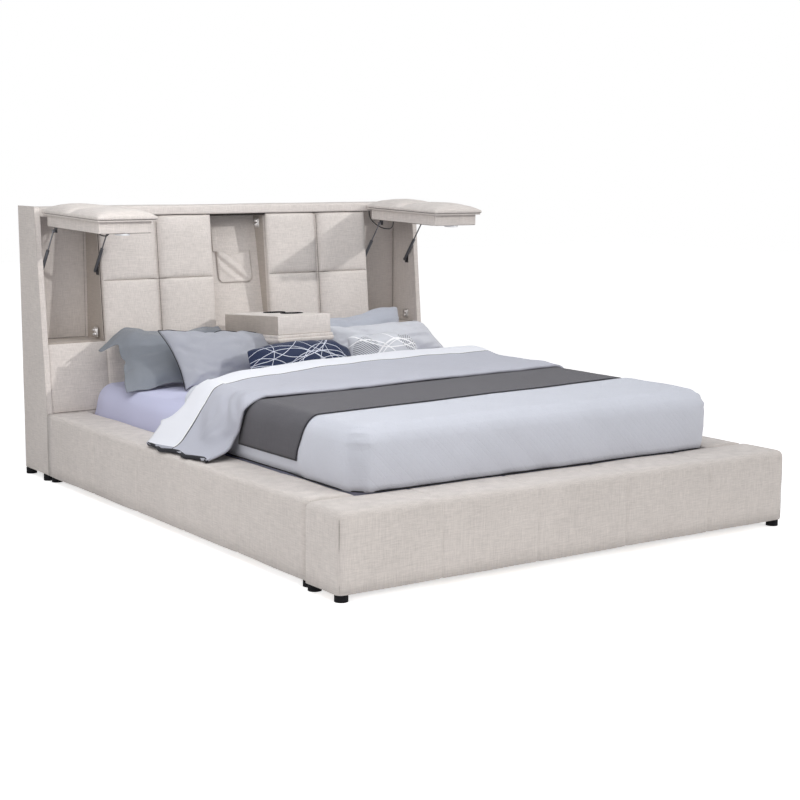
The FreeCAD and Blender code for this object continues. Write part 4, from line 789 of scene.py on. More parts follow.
# faces turned sideways take the darker linen: painted shade on the armrest's sides
for polygon in armObj.data.polygons:
    polygon.material_index = 1 if abs(polygon.normal.x) > 0.8 else 0
cupData = {
    "x": 0.036, "reaches": (0.190, 0.335), "radius": 0.0428, "depth": 0.0268, "sides": 64,
    "lip": (
        (0.0424, -0.0012), (0.0424, 0.0022), (0.0432, 0.0032), (0.0452, 0.0036),
        (0.0474, 0.0030), (0.0484, 0.0014), (0.0484, -0.0012),
    ),
}
armTop = armData["high"].z
lips = []
for reach in cupData["reaches"]:
    cutter = bmesh.new()
    radius = cupData["radius"]
    bmesh.ops.create_cone(
        cutter, cap_ends=True, segments=cupData["sides"], radius1=radius, radius2=radius, depth=0.06,
    )
    for v in cutter.verts:
        v.co = onArm(cupData["x"] + v.co.x, reach + v.co.y, armTop - cupData["depth"] + v.co.z)
    data = bpy.data.meshes.new("cutter")
    bmesh.ops.recalc_face_normals(cutter, faces=cutter.faces)
    cutter.to_mesh(data)
    cutter.free()
    tool = showObject("cutter", data)
    boolean = armObj.modifiers.new("well", "BOOLEAN")
    boolean.object, boolean.operation, boolean.solver = tool, "DIFFERENCE", "EXACT"
    applyAll(armObj)
    bpy.data.objects.remove(tool)
    lip = turned(cupData["lip"], cupData["sides"])
    for v in lip.verts:
        v.co = onArm(cupData["x"] + v.co.x, reach + v.co.y, armTop + v.co.z)
    lips.append(lip)
sharpen(armObj, 60)
addPiece("cupRims", joined(lips), plastic, "armrest")
armBoard = softBox(mm(-134, 4, -10.8), mm(134, 504, 1.5), 0.003, grid=0.08, wave=0.0005, steps=3)
addPiece("armrestBoard", placed(armBoard, onArm), linen, "armrest", ["armrest_board"])
armCushion = squares(
    armData["cushion"], armData["rows"], lambda x, up, out: onArm(x, up, -0.0109 - out),
    0.017, 0.0215, acrossWidth=0.012, upWidth=0.010, pull=0.007, rough=0.004, seed=21,
)
armCushionObj = addPiece("armrestCushion", armCushion, linen, "armrest", ["armrest_cushion"])
print("armrest done")

# a near-black strip under the cap of the middle bin: painted shadow in the shaded gap there
paintedShadowGap = softBox(mm(-134, 1088, 1070.6), mm(134, 1205, 1079.2), 0.002, grid=0.05, wave=0.0004, steps=2)
addPiece("binPaintedShadow", paintedShadowGap, paintedShadowCloth, "bed")

# pocket on the leaning back of the middle bin, in metres from the bin's floor line
pocketData = {
    "x": (-0.07, 0.1), "up": (0.213, 0.353), "cells": (44, 36), "out": (0.001, 0.0136), "hem": 0.0013,
    "folds": ((0.0062, 0.10, 0.07), (-0.0056, 0.24, 0.06), (0.0040, 0.40, 0.06), (-0.0030, -0.06, 0.06)),
    "stitch": (
        (-0.067, 0.345), (-0.068, 0.24), (-0.062, 0.222), (-0.050, 0.2155),
        (0.080, 0.2155), (0.092, 0.222), (0.098, 0.24),
    ),
}


def pocketPoint(a, b):  # shares across and up
    (left, right), (low, top) = pocketData["x"], pocketData["up"]
    edge = min(1, min(a, 1 - a) / 0.07)
    belly = 0.0105 * (0.30 + 0.70 * b ** 1.2) * edge ** 0.6
    sag = -0.013 * (4 * a * (1 - a)) * b ** 5
    diagonal = (a - 0.25) * 0.72 + (b - 0.9) * 0.70
    folds = 0.0
    for height, off, width in pocketData["folds"]:
        folds += height * math.exp(-((diagonal + off) / width) ** 2)
    hem = pocketData["hem"] if b > 0.92 or a < 0.06 or a > 0.94 or b < 0.06 else 0.0
    out = 0.0012 + belly * min(1, b / 0.07 + 0.1) + folds * edge * min(1, b / 0.15) + hem
    roundness = 0.018 * (max(0.0, 1 - b / 0.16) ** 2)
    x = left + (right - left) * a + (roundness if a < 0.5 else -roundness) * abs(2 * a - 1) ** 3
    flattest, fullest = pocketData["out"]
    return onBack(x, low + (top - low) * b + sag, min(fullest, max(flattest, out)))


pocket = bmesh.new()
wide, tall = pocketData["cells"]
pocketLines = []
for i in range(wide + 1):
    pocketLines.append([pocket.verts.new(pocketPoint(i / wide, j / tall)) for j in range(tall + 1)])
skin(pocket, pocketLines)
pocketObj = addPiece("pocketPatch", pocket, linen, "bed", ["pocket"])
thicken(pocketObj, 0.0018, -1)
# dark line round the pocket's sides and bottom: painted shade under its edge
around = pocketData["stitch"]
edgeLine = [spot for a, b in zip(around, around[1:]) for spot in run(onBack, a, b, 0.0035, 4)[:-1]]
stitch("pocketEdgeShade", "bed", [edgeLine], 0.0013)
strapData = {"low": mm(-86, 350, 0.5), "high": mm(-60, 455, 8.5), "seams": [(0, -0.0835), (0, -0.0625)]}
strap = softBox(
    strapData["low"], strapData["high"], 0.003, grid=0.012,
    seams=strapData["seams"], depth=0.0012, wave=0.0014, scale=22, steps=3,
)
addPiece("pocketStrap", placed(strap, onBack), linen, "bed")
print("pocket done")


# bedding
def smooth(value):
    value = min(1.0, max(0.0, value))
    return value * value * (3 - 2 * value)


mattressData = {"low": mm(-769, -1008, 225.5), "high": mm(762, 999.5, 395), "radius": 0.050}


def mattressMesh():
    bm = softBox(
        mattressData["low"], mattressData["high"], mattressData["radius"],
        pick=lambda e: middle(e).z > 0.23, grid=0.035, wave=0.0, steps=7,
    )
    bm.normal_update()
    for v in bm.verts:
        seen = smooth(v.co.y / 0.1)  # under the duvet it stays smooth and narrower
        inner = min(1, max(0, (v.co.z - 0.23) / 0.06))
        wrinkle = 0.0035 * noise.noise(Vector((v.co.x * 7, v.co.y * 4, v.co.z * 9)))
        wrinkle += 0.0015 * noise.noise(Vector((v.co.x * 22, v.co.y * 12, v.co.z * 5)))
        head = smooth((v.co.y - 0.86) / 0.14) * inner
        v.co += v.normal * wrinkle * inner * seen
        v.co.x -= math.copysign(0.02, v.co.x) * (1 - seen) * smooth((abs(v.co.x) - 0.5) / 0.2)
        v.co.x -= math.copysign(0.022, v.co.x) * head * smooth((abs(v.co.x) - 0.55) / 0.2)
        upper = min(1.0, max(0.0, (v.co.z - 0.29) / 0.105))
        v.co.x -= math.copysign(0.034, v.co.x) * upper ** 1.6 * seen * smooth((abs(v.co.x) - 0.55) / 0.2)
    return bm


mattressObj = addPiece("mattressSheet", mattressMesh(), lilac, "bed", ["mattress"])


def openShell(low, high, radius, grid, steps=8):  # a box without its underside and its head end
    bm = boxMesh(low, high)
    chosen = [e for e in bm.edges if middle(e).z > low.z + 0.001 and middle(e).y < high.y - 0.001]
    bevelEdges(bm, chosen, radius, steps)
    bm.normal_update()
    gone = [f for f in bm.faces if f.normal.z < -0.9 or f.normal.y > 0.9]
    bmesh.ops.delete(bm, geom=gone, context="FACES")
    for axis in range(3):
        sliceMesh(bm, axis, spread(low[axis], high[axis], grid))
    return bm


def foldHead(x, z):  # where the folded part starts, towards the headboard
    if x >= 0.47:
        return 0.400
    if x >= -0.1:
        return 0.345 + 0.055 * (x + 0.1) / 0.57
    return 0.095 + 0.250 * max(0.0, (x + 0.787) / 0.687)


def foldFoot(x, z):  # and where it ends
    low = smooth((0.47 - z) / 0.14) * (1 if x < 0 else 0)
    return -0.299 + 0.07 * min(1.0, max(-1.0, x / 0.7875)) + 0.045 * low


def sideSwing(x, z):  # the runner hangs nearer the head at the sides
    return 0.05 * smooth((0.47 - z) / 0.14) * (1 if x < 0 else 0.3)


def duvetPush(p):
    x, y, z = p
    free = smooth((foldFoot(x, 0.5) - 0.368 + sideSwing(x, z) - y) / 0.06)
    tuck = math.exp(-(z - 0.281) / 0.018)
    puff = 0.007 * math.sin(math.pi * min(1, max(0, (z - 0.281) / 0.2))) if z < 0.47 else 0.0
    large = 0.005 * noise.noise(Vector((x * 3.2, y * 3.2, z * 3))) * (0.3 + 0.7 * free)
    small = 0.0035 * noise.noise(Vector((x * 9, y * 7, z * 5 + 4))) * free
    return puff * (0.4 + 0.6 * free) + large + small + 0.008 * free - 0.006 * tuck


duvetData = {
    "low": mm(-775, -1045, 281.5), "high": mm(775, 480, 488), "radius": 0.060,
    "slant": Vector((-0.274, 1.55, 0)).normalized(), "corner": Vector((-0.775, 0.108, 0.3)),
    "underside": 0.2812,
}


def duvetMesh():
    bm = openShell(duvetData["low"], duvetData["high"], duvetData["radius"], 0.025)
    slant, corner = duvetData["slant"], duvetData["corner"]
    cutAlong(bm, corner, slant, clear_outer=True)
    rims = [e for e in bm.edges if e.is_boundary]
    cut = [e for e in rims if all(abs((v.co - corner).dot(slant)) < 1e-4 for v in e.verts)]
    for share in (0.4, 1.0):  # the cut end turns down to the mattress
        made = bmesh.ops.extrude_edge_only(bm, edges=cut)["geom"]
        cut = [g for g in made if isinstance(g, bmesh.types.BMEdge) and g.is_boundary]
        for v in {v for e in cut for v in e.verts}:
            v.co.x *= 1 - 0.03 * share
            if v.co.z > 0.40:
                v.co.z = v.co.z + (0.402 - v.co.z) * share
            v.co += slant * 0.012 * (1 - share)
    bm.normal_update()
    for v in bm.verts:
        x, y, z = v.co
        front = max(0.0, -v.normal.y)
        move = v.normal * (duvetPush(v.co) + front * 0.004 * noise.noise(Vector((x * 14 + z * 20, z * 4, 2))))
        near = math.exp(-((abs(x) - 0.75) ** 2 + (y + 1.02) ** 2) / 0.0012)
        if near > 0.02:  # gathered at the corners of the foot
            move -= Vector((math.copysign(1, x), -1, 0)).normalized() * near * 0.012 * (1.1 - abs(z - 0.38) * 2)
            move += v.normal * 0.003 * math.sin(z * 260) * near
        v.co += move
        v.co.z = max(v.co.z, duvetData["underside"])
    return bm


quiltedCloth = quilted(duvetCloth, 0.05, 0.0014)  # 50 mm diamonds
duvetObj = addPiece("duvetCover", duvetMesh(), quiltedCloth, "bed", ["duvet"])
thicken(duvetObj, 0.010, -1)
lowest = [v.co.copy() for v in duvetObj.data.vertices if v.co.z < 0.292]
duvetHem = []
hemSteps = 140
for step in range(hemSteps + 1):  # round the foot, from one side to the other
    angle = -2.0 + 4.0 * step / hemSteps
    out = Vector((math.copysign(1, angle), 0, 0)) if abs(angle) > 0.81 else Vector((0, -1, 0))
    near = [p for p in lowest if abs(math.atan2(p.x, -(p.y + 0.3)) - angle) < 0.05]
    if near:
        outermost = max(p.dot(out) for p in near)
        average = sum(near, Vector()) / len(near)
        place = average - out * average.dot(out) + out * (outermost + 0.0006)
        duvetHem.append(Vector((place.x, place.y, 0.2832)))
for sweep in range(3):
    softened = [(a + b * 2 + c) / 4 for a, b, c in zip(duvetHem, duvetHem[1:], duvetHem[2:])]
    duvetHem = [duvetHem[0], *softened, duvetHem[-1]]
stitch("duvetHem", "bed", [duvetHem], 0.0024, material=pipingCloth)


# the way across the bed, from the right side's hem over the top to the left side's, in X and Z
def acrossProfile(half, top, radius, leftLow, rightLow, step=0.02):
    quarter = [math.pi / 2 * k / 8 for k in range(9)]
    points = [(half, rightLow)]
    z = rightLow
    while z < top - radius - step:
        z += step
        points.append((half, z))
    points += [(half - radius + radius * math.cos(a), top - radius + radius * math.sin(a)) for a in quarter]
    x = half - radius
    while x > -half + radius + step:
        x -= step
        points.append((x, top))
    points += [(-half + radius - radius * math.sin(a), top - radius + radius * math.cos(a)) for a in quarter]
    z = top - radius
    while z > leftLow + step:
        z -= step
        points.append((-half, z))
    return points + [(-half, leftLow)]


def curveThrough(points, count):
    made = []
    last = len(points) - 1
    for k in range(count + 1):
        s = last * k / count
        i = min(last - 1, int(s))
        t = s - i
        p = [Vector(points[min(last, max(0, i + o))]) for o in (-1, 0, 1, 2)]
        square = (2 * p[0] - 5 * p[1] + 4 * p[2] - p[3]) * t * t
        cube = (3 * p[1] - p[0] - 3 * p[2] + p[3]) * t ** 3
        made.append(0.5 * (2 * p[1] + (p[2] - p[0]) * t + square + cube))
    return made


# a cloth laid from one profile at the head edge to another at the foot edge, pushed outward by push()
def drapeMesh(headProfile, footProfile, headEdge, footEdge, rows, push):
    bm = bmesh.new()
    along = bm.verts.layers.float.new("clothV")
    across = bm.verts.layers.float.new("clothU")
    grid = []
    travelled = 0.0
    previous = None
    for (hx, hz), (fx, fz) in zip(headProfile, footProfile):
        if previous is not None:
            travelled += math.hypot(fx - previous[0], fz - previous[1])
        previous = (fx, fz)
        line = []
        head, foot = headEdge(hx, hz), footEdge(fx, fz)
        for j in range(rows + 1):
            t = j / rows
            w = smooth(t)
            vert = bm.verts.new((hx + (fx - hx) * w, head + (foot - head) * t, hz + (fz - hz) * w))
            vert[along] = abs(head - foot) * t
            vert[across] = travelled
            line.append(vert)
        grid.append(line)
    skin(bm, grid)
    bm.normal_update()
    moves = []
    for v in (v for line in grid for v in line):
        outward = v.normal if v.normal.dot(Vector((v.co.x * 0.3, 0, v.co.z - 0.3))) > 0 else -v.normal
        moves.append((v, outward * push(v, v[along], outward)))
    for v, move in moves:
        v.co += move
    return bm, travelled


foldData = {
    "half": 0.787, "top": 0.500, "radius": 0.0725, "low": (0.350, 0.335), "rows": 44, "leave": -0.69,
    "tent": (
        (-0.700, 0.5035), (-0.735, 0.494), (-0.7618, 0.4752), (-0.800, 0.434),
        (-0.8386, 0.3951), (-0.882, 0.350), (-0.9262, 0.3036), (-0.9415, 0.2895),
    ),
    "flare": (
        (-0.700, 0.5030), (-0.740, 0.4965), (-0.774, 0.472), (-0.792, 0.434),
        (-0.799, 0.392), (-0.810, 0.352), (-0.842, 0.316), (-0.920, 0.2895),
    ),
}
rightAndTop = acrossProfile(foldData["half"], foldData["top"], foldData["radius"], *foldData["low"])
cutAt = next(k for k, p in enumerate(rightAndTop) if p[0] < foldData["leave"])
foldProfiles = [
    rightAndTop[:cutAt] + [tuple(p) for p in curveThrough(foldData[key], 34)] for key in ("tent", "flare")
]


def foldPush(v, along, outward):
    x, y, z = v.co
    level = smooth((z - 0.30) / 0.05)
    roll = 0.0215 * math.exp(-((along - 0.075) / 0.11) ** 2)
    roll *= smooth((z - 0.40) / 0.08) * (0.1 + 0.9 * smooth((x + 0.76) / 0.26))
    large = 0.0045 * noise.noise(Vector((x * 4, y * 5 + 7, z * 5)))
    small = 0.0022 * noise.noise(Vector((x * 13, y * 9, z * 11 + 7)))
    wander = 2 * noise.noise(Vector((z * 8, along * 5, 1)))
    flutes = smooth((-x - 0.74) / 0.03) * 0.0075 * math.sin(along * 34 + z * 11 + wander)
    flutes *= smooth((along - 0.12) / 0.1) * level
    base = duvetPush((max(-0.775, min(0.775, x)), y, min(0.488, z))) * smooth((z - 0.31) / 0.06)
    total = abs(foldHead(x, z) - foldFoot(x, z))
    gap = max(0.0, total - along)
    puff = 0.012 * math.exp(-((gap - 0.09) / 0.06) ** 2) * level * (0.5 + 0.5 * smooth((-x - 0.4) / 0.3))
    pleats = 0.0045 * math.sin(along * 70 + 14 * noise.noise(Vector((x * 5, z * 6, 3))))
    pleats *= smooth((along - total + 0.24) / 0.12) * smooth((-x - 0.68) / 0.06)
    return base + roll + puff + (large + small + flutes + pleats) * level


foldMesh, foldWidth = drapeMesh(*foldProfiles, foldHead, foldFoot, foldData["rows"], foldPush)
along = foldMesh.verts.layers.float["clothV"]
for v in foldMesh.verts:  # the head edge turns down over the duvet's end
    share = max(0.0, 1 - v[along] / 0.055)
    if share and v.co.z > 0.36:
        turnedDown = 0.060 * share ** 2.2 + 0.016 * share * smooth((-0.48 - v.co.x) / 0.2)
        v.co.z -= turnedDown * smooth((v.co.z - 0.36) / 0.08)
        v.co.y += 0.016 * share


def foldStripes():  # white turned side, its hem, a dark line and the pillow-grey end
    material = fabric("foldCloth", "#bec0cb", 0.0008, 0.01, 0.03, 0.55, 0.75, 0.15, 0.011)
    tree = material.node_tree
    shader = tree.nodes["Principled BSDF"]
    color = shader.inputs["Base Color"].links[0].from_socket
    u, v = clothPlaces(tree)
    end = addNode(tree, "Math", v, 0.17, operation="LESS_THAN")
    strip = addNode(tree, "Math", within(tree, u, foldWidth - 0.045, foldWidth), end, operation="MULTIPLY")
    for share, hexText in (
        (addNode(tree, "Math", v, 0.172, operation="LESS_THAN"), "#eff1f8"),
        (within(tree, v, 0.164, 0.170), "#fafafc"),
        (within(tree, v, 0.170, 0.1755), "#3c3d43"),
        (strip, "#a9abb6"),
    ):
        inputs = {0: share, 6: color, 7: paint(hexText)}
        color = addNode(tree, "Mix", inputs=inputs, data_type="RGBA").outputs[2]
    tree.links.new(color, shader.inputs["Base Color"])
    return material


foldObj = addPiece("duvetFold", foldMesh, foldStripes(), "bed", ["duvet_fold"])
thicken(foldObj, 0.009, 0)

hemData = {
    "start": (-0.9415, 0.093, 0.2892), "out": 0.0215, "length": 0.418, "steps": 60, "size": (0.0092, 0.0072),
}
hemPath = []
for k in range(hemData["steps"] + 1):
    t = k / hemData["steps"]
    x, y, z = hemData["start"]
    x += hemData["out"] * smooth(t) + 0.008 * math.sin(t * 15.5) + 0.003 * math.sin(t * 34 + 1)
    hemPath.append(Vector((x, y - hemData["length"] * t, z + 0.0022 * math.sin(t * 15.5 + 0.6))))
addPiece("foldHem", tube(hemPath, *hemData["size"]), pipingCloth, "bed")
print("duvet done")

runnerData = {
    "half": 0.7785, "top": 0.4915, "radius": 0.0635, "low": (0.333, 0.333),
    "head": 0.015, "foot": -0.374, "width": 0.389, "rows": 22,
}
runnerProfile = acrossProfile(runnerData["half"], runnerData["top"], runnerData["radius"], *runnerData["low"])


def runnerPush(v, along, outward):
    base = v.co - outward * 0.0035
    return duvetPush((base.x, base.y, base.z)) + 0.0006 * noise.noise(v.co * 30)


runnerMesh, runnerLength = drapeMesh(
    runnerProfile, runnerProfile,
    lambda x, z: foldFoot(x, 0.5) + runnerData["head"] + sideSwing(x, z),
    lambda x, z: foldFoot(x, 0.5) + runnerData["foot"] + sideSwing(x, z), runnerData["rows"], runnerPush,
)


def edged(material, width, length):  # a dark band along the hems
    tree = material.node_tree
    shader = tree.nodes["Principled BSDF"]
    old = shader.inputs["Base Color"].links[0].from_socket
    u, v = clothPlaces(tree)
    end = addNode(tree, "Math", v, width - 0.005, operation="LESS_THAN")
    inner = addNode(tree, "Math", within(tree, u, 0.006, length - 0.006), end, operation="MULTIPLY")
    color = addNode(tree, "Mix", inputs={0: inner, 6: paint("#3b3b40"), 7: old}, data_type="RGBA")
    tree.links.new(color.outputs[2], shader.inputs["Base Color"])
    return material


blanketEdged = edged(blanketCloth, runnerData["width"], runnerLength)
runnerObj = addPiece("bedRunner", runnerMesh, blanketEdged, "bed", ["bed_runner"])
thicken(runnerObj, 0.003, 0)
print("runner done", round(runnerLength, 4))


# pillows: two cloth layers blown up by pressure, then set in place
def inflate(name, width, height, cells, pressure, frames=22, seed=1.0):
    nx, ny = cells
    bm = bmesh.new()
    layers = []
    for side in (1, -1):
        grid = []
        for i in range(nx + 1):
            line = []
            for j in range(ny + 1):
                rim = i in (0, nx) or j in (0, ny)
                if rim and side < 0:
                    line.append(layers[0][i][j])
                    continue
                x, y = width * (i / nx - 0.5), height * (j / ny - 0.5)
                z = 0 if rim else side * 0.006 * (1 + 0.5 * noise.noise(Vector((x * 20, y * 20, side * seed))))
                line.append(bm.verts.new((x, y, z)))
            grid.append(line)
        layers.append(grid)
        for i in range(nx):
            for j in range(ny):
                corners = [grid[i][j], grid[i + 1][j], grid[i + 1][j + 1], grid[i][j + 1]]
                bm.faces.new(corners if side > 0 else corners[::-1])
    bm.verts.index_update()
    way = [(i, 0) for i in range(nx)] + [(nx, j) for j in range(ny)]
    way += [(i, ny) for i in range(nx, 0, -1)] + [(0, j) for j in range(ny, 0, -1)]
    rimOrder = [layers[0][i][j].index for i, j in way]
    bm.normal_update()
    data = bpy.data.meshes.new(name)
    bm.to_mesh(data)
    bm.free()
    flatUV = [(v.co.x / width + 0.5, v.co.y / height + 0.5) for v in data.vertices]
    obj = showObject(name, data)
    cloth = obj.modifiers.new("blow", "CLOTH")
    settings = cloth.settings
    settings.quality = 6
    settings.mass = 0.25
    settings.tension_stiffness = settings.compression_stiffness = 12
    settings.shear_stiffness = 4
    settings.bending_stiffness = 0.35
    settings.use_pressure = True
    settings.uniform_pressure_force = pressure
    settings.effector_weights.gravity = 0
    cloth.collision_settings.use_collision = False
    cloth.collision_settings.use_self_collision = False
    cloth.point_cache.frame_start, cloth.point_cache.frame_end = 1, frames
    for step in range(1, frames + 1):
        bpy.context.scene.frame_set(step)
    applyAll(obj)
    bpy.context.scene.frame_set(1)
    points = [v.co.copy() for v in obj.data.vertices]
    faces = [tuple(p.vertices) for p in obj.data.polygons]
    bpy.data.objects.remove(obj)
    return points, faces, rimOrder, flatUV


def heightAt(points, value):
    for (a, x), (b, y) in zip(points, points[1:]):
        if a <= value <= b:
            return x + (y - x) * smooth((value - a) / (b - a))
    return points[-1][1]


def pillow(
    name, corners, thickness, material, replaced, cells=(30, 22), pressure=4.0, rimWidth=0.0,
    seed=1.0, sagging=None, top=((0, 0), (1, 0)), hold=0.0, creases=0.006, piping=None, waist=0.0,
):
    lowLeft, lowRight, highLeft, highRight = [mm(*c) for c in corners]
    width = ((lowRight - lowLeft).length + (highRight - highLeft).length) / 2
    height = ((highLeft - lowLeft).length + (highRight - lowRight).length) / 2
    points, faces, rim, flat = inflate(name, width, height, cells, pressure, seed=seed)
    xs, ys, zs = [p.x for p in points], [p.y for p in points], [p.z for p in points]
    x0, x1, y0, y1 = min(xs), max(xs), min(ys), max(ys)
    thick = max(zs) - min(zs)
    bm = bmesh.new()
    layerU, layerV = bm.verts.layers.float.new("clothU"), bm.verts.layers.float.new("clothV")

    def target(a, b, c):
        low = lowLeft.lerp(lowRight, a)
        high = highLeft.lerp(highRight, a)
        high.z += heightAt(top, min(1, max(0, a))) / 1000
        across = (lowRight - lowLeft).lerp(highRight - highLeft, b)
        normal = across.cross(high - low).normalized()
        return low.lerp(high, b) + normal * c

    def share(p, u, v):
        a, b = (p.x - x0) / (x1 - x0), (p.y - y0) / (y1 - y0)
        a, b = a + (u - a) * hold, b + (v - b) * hold
        return a + waist * 4 * b * (1 - b) * (1 - a) ** 3, b

    def creased(u, v):
        turned = noise.noise(Vector((u * 3 + seed, v * 3, seed)))
        ridge = 1 - 3.2 * abs(noise.noise(Vector((u * 7 + v * 4 + turned * 2, v * 9 - u * 3, seed * 3))))
        wide = noise.noise(Vector((u * 3.1, v * 3.7 + seed, 8)))
        return creases * (0.8 * ridge + 1.6 * wide) * min(1, 12 * u * (1 - u)) * min(1, 10 * v * (1 - v))

    def flattened(u, v):
        near = max(0.0, min(u * width, (1 - u) * width, v * height, (1 - v) * height))
        return 1 - 0.85 * math.exp(-(near / rimWidth) ** 2.5) if rimWidth else 1.0

    verts = []
    for p, (u, v) in zip(points, flat):
        a, b = share(p, u, v)
        ridge = creased(u, v) if abs(p.z) > 1e-6 else 0.0
        spot = target(a, b, (p.z / thick * thickness + ridge) * flattened(u, v))
        if rimWidth:
            rimDistance = min(u * width, (1 - u) * width, v * height, (1 - v) * height)
            waves = [(u * 9, v * 9, seed), (u * 8, v * 8, seed + 5), (u * 10, v * 9, seed + 9)]
            ripple = Vector([noise.noise(Vector(wave)) for wave in waves])
            spot += ripple * 0.009 * math.exp(-(rimDistance / 0.03) ** 2)
        if sagging:
            spot += sagging(u, v)
        vert = bm.verts.new(spot)
        vert[layerU], vert[layerV] = u * width, v * height
        verts.append(vert)
    for face in faces:
        bm.faces.new([verts[i] for i in face])
    if piping:
        line = [verts[i].co.copy() for i in rim] + [verts[rim[0]].co.copy()]
        cord = tube(line, piping, piping, 6)
        for face in cord.faces:
            face.material_index = 1
        addInto(bm, cord)
    obj = addPiece(name, bm, material, "bed", replaced, more=[pipingCloth] if piping else [])
    subdivision = obj.modifiers.new("smooth", "SUBSURF")
    subdivision.levels = subdivision.render_levels = 1
    applyAll(obj)
    for polygon in obj.data.polygons:
        polygon.use_smooth = True


def leftCorner(a, b):  # the outer upper corner hangs over the edge
    near = smooth(1 - a / 0.115) * smooth((b - 0.67) / 0.33)
    return Vector((-0.100, -0.06, -0.097)) * near


# corners in millimetres, low left first; top says how far the upper edge rises along its length
pillow(
    "shamLeft", [(-767, 640, 394), (-150, 640, 400), (-662, 990, 631), (-150, 990, 602)], 0.100,
    shamCloth, ["sham_left"], cells=(36, 28), rimWidth=0.03, seed=1.3, hold=0.6,
    sagging=leftCorner,
)
pillow(
    "shamRight", [(140, 780, 400), (700, 780, 400), (140, 885, 618), (712, 885, 660)], 0.100,
    shamBlue, ["sham_right"], cells=(32, 22), rimWidth=0.02, seed=2.1, hold=0.5,
    top=((0, 10), (0.4, 6), (0.6, 0), (0.8, 14), (0.92, 8), (1, -8)),
)
pillow(
    "pillowLeft", [(-550, 545, 398), (-5, 545, 398), (-585, 722, 632), (12, 700, 520)], 0.100,
    pillowCloth, ["pillow_left"], cells=(34, 24), seed=3.7,
    hold=0.2, piping=0.0020, waist=0.035, creases=0.008,
    top=((0, 0), (0.10, 20), (0.25, 44), (0.48, 76), (0.62, 84), (0.72, 80), (0.86, 50), (0.93, 28), (1, 0)),
)
pillow(
    "pillowRight", [(235, 665, 400), (872, 690, 446), (240, 745, 600), (766, 745, 590)], 0.100,
    pillowLight, ["pillow_right"], cells=(30, 20), seed=4.4,
    hold=0.25, creases=0.008, top=((0, 6), (0.4, 16), (0.7, 24), (0.88, 22), (1, -18)),
)
navyCircles = [  # centre and radius of each printed arc, in metres on the cloth
    (0.02, -0.12, 0.24), (0.30, -0.10, 0.22), (0.12, 0.42, 0.34), (0.50, 0.02, 0.20), (0.22, 0.30, 0.20),
    (0.42, 0.36, 0.26), (-0.05, 0.16, 0.16), (0.36, -0.20, 0.32), (0.16, -0.16, 0.30), (0.05, 0.34, 0.24),
    (0.34, 0.02, 0.13), (0.40, -0.16, 0.26), (0.10, -0.22, 0.38), (0.55, 0.22, 0.22),
]
navyArcs = [(*circle, 0.0011) for circle in navyCircles]  # 2.2 mm lines
navyCloth = arcCloth("navyArcs", "#0c152c", "#172a50", "#d6dae6", navyArcs)
pillow(
    "cushionNavy", [(-305, 430, 400), (205, 430, 400), (-305, 490, 575), (205, 490, 575)], 0.094,
    navyCloth, ["cushion_navy"], cells=(26, 14), seed=5.2, hold=0.3,
    top=((0, -24), (0.09, 2), (0.27, 16), (0.45, 26), (0.64, 26), (0.80, 16), (0.93, -24), (1, -74)),
)
patternCircles = [
    (0.05, -0.10, 0.24, 0.0022), (0.24, -0.02, 0.155, 0.0034), (0.33, 0.30, 0.20, 0.0022),
    (0.20, 0.36, 0.26, 0.002), (0.40, -0.02, 0.12, 0.003), (0.30, -0.10, 0.24, 0.0018),
]
patternHatch = {
    "color": "#5f6167",
    "sets": [
        (0.9, (0.07, 0.10, 0.055), 0.007), (1.2, (0.12, 0.03, 0.05), 0.008),
        (-0.7, (0.29, 0.14, 0.05), 0.008), (0.4, (0.36, 0.04, 0.05), 0.007),
    ],
}
patternCloth = arcCloth("patternArcs", "#d2d4da", "#c3c5cc", "#f4f4f6", patternCircles, patternHatch)
pillow(
    "cushionPattern", [(232, 520, 400), (602, 520, 400), (232, 575, 572), (602, 575, 572)], 0.094,
    patternCloth, ["cushion_pattern"], cells=(24, 14), seed=6.1, hold=0.3,
    top=((0, -8), (0.12, 16), (0.24, 22), (0.6, 26), (0.82, 8), (0.96, -38), (1, -64)),
)
print("pillows done")

# roller catches of the flaps and the armrest
catchData = {
    "plate": (0.040, 0.042), "thickness": 0.0022, "block": (0.012, 0.0155, 0.0065),
    "roller": (0.0062, 0.016), "apart": 0.0088, "out": 0.0105, "screw": 0.0026, "screws": (0.0158, 0.0168),
    "flap": (1.116, 0.592, ((-0.922, 1), (-0.672, -1), (0.672, 1), (0.922, -1))),
    "armrest": (1.1666, 1.034, ((-0.1400, 1), (0.1400, -1))),
}


def acrossEdge(edge):
    return abs(edge.verts[0].co.x - edge.verts[1].co.x) > 1e-4


def catchMesh(x, y, z, hand):
    wide, tall = (size / 2 for size in catchData["plate"])
    thick = catchData["thickness"]
    near, far = sorted((x + hand * 0.0002, x + hand * thick))
    low, high = Vector((near, y - wide, z - tall)), Vector((far, y + wide, z + tall))
    parts = [softBox(low, high, 0.006, pick=acrossEdge, grid=0.1, wave=0.0)]
    wide, tall, reach = catchData["block"]
    near, far = sorted((x + hand * thick, x + hand * reach))
    low, high = Vector((near, y - wide, z - tall)), Vector((far, y + wide, z + tall))
    parts.append(softBox(low, high, 0.002, grid=0.1, wave=0.0, steps=2))
    radius, length = catchData["roller"]
    screwY, screwZ = catchData["screws"]
    for up in (-1, 1):
        place = Vector((x + hand * catchData["out"], y, z + up * catchData["apart"]))
        parts.append(rounded(radius, length, place, (0, 1, 0), 0.0012))
        for along in (-1, 1):
            place = Vector((x + hand * (thick + 0.0004), y + along * screwY, z + up * screwZ))
            parts.append(rounded(catchData["screw"], 0.0012, place, (1, 0, 0), 0.0004, 18))
    return parts


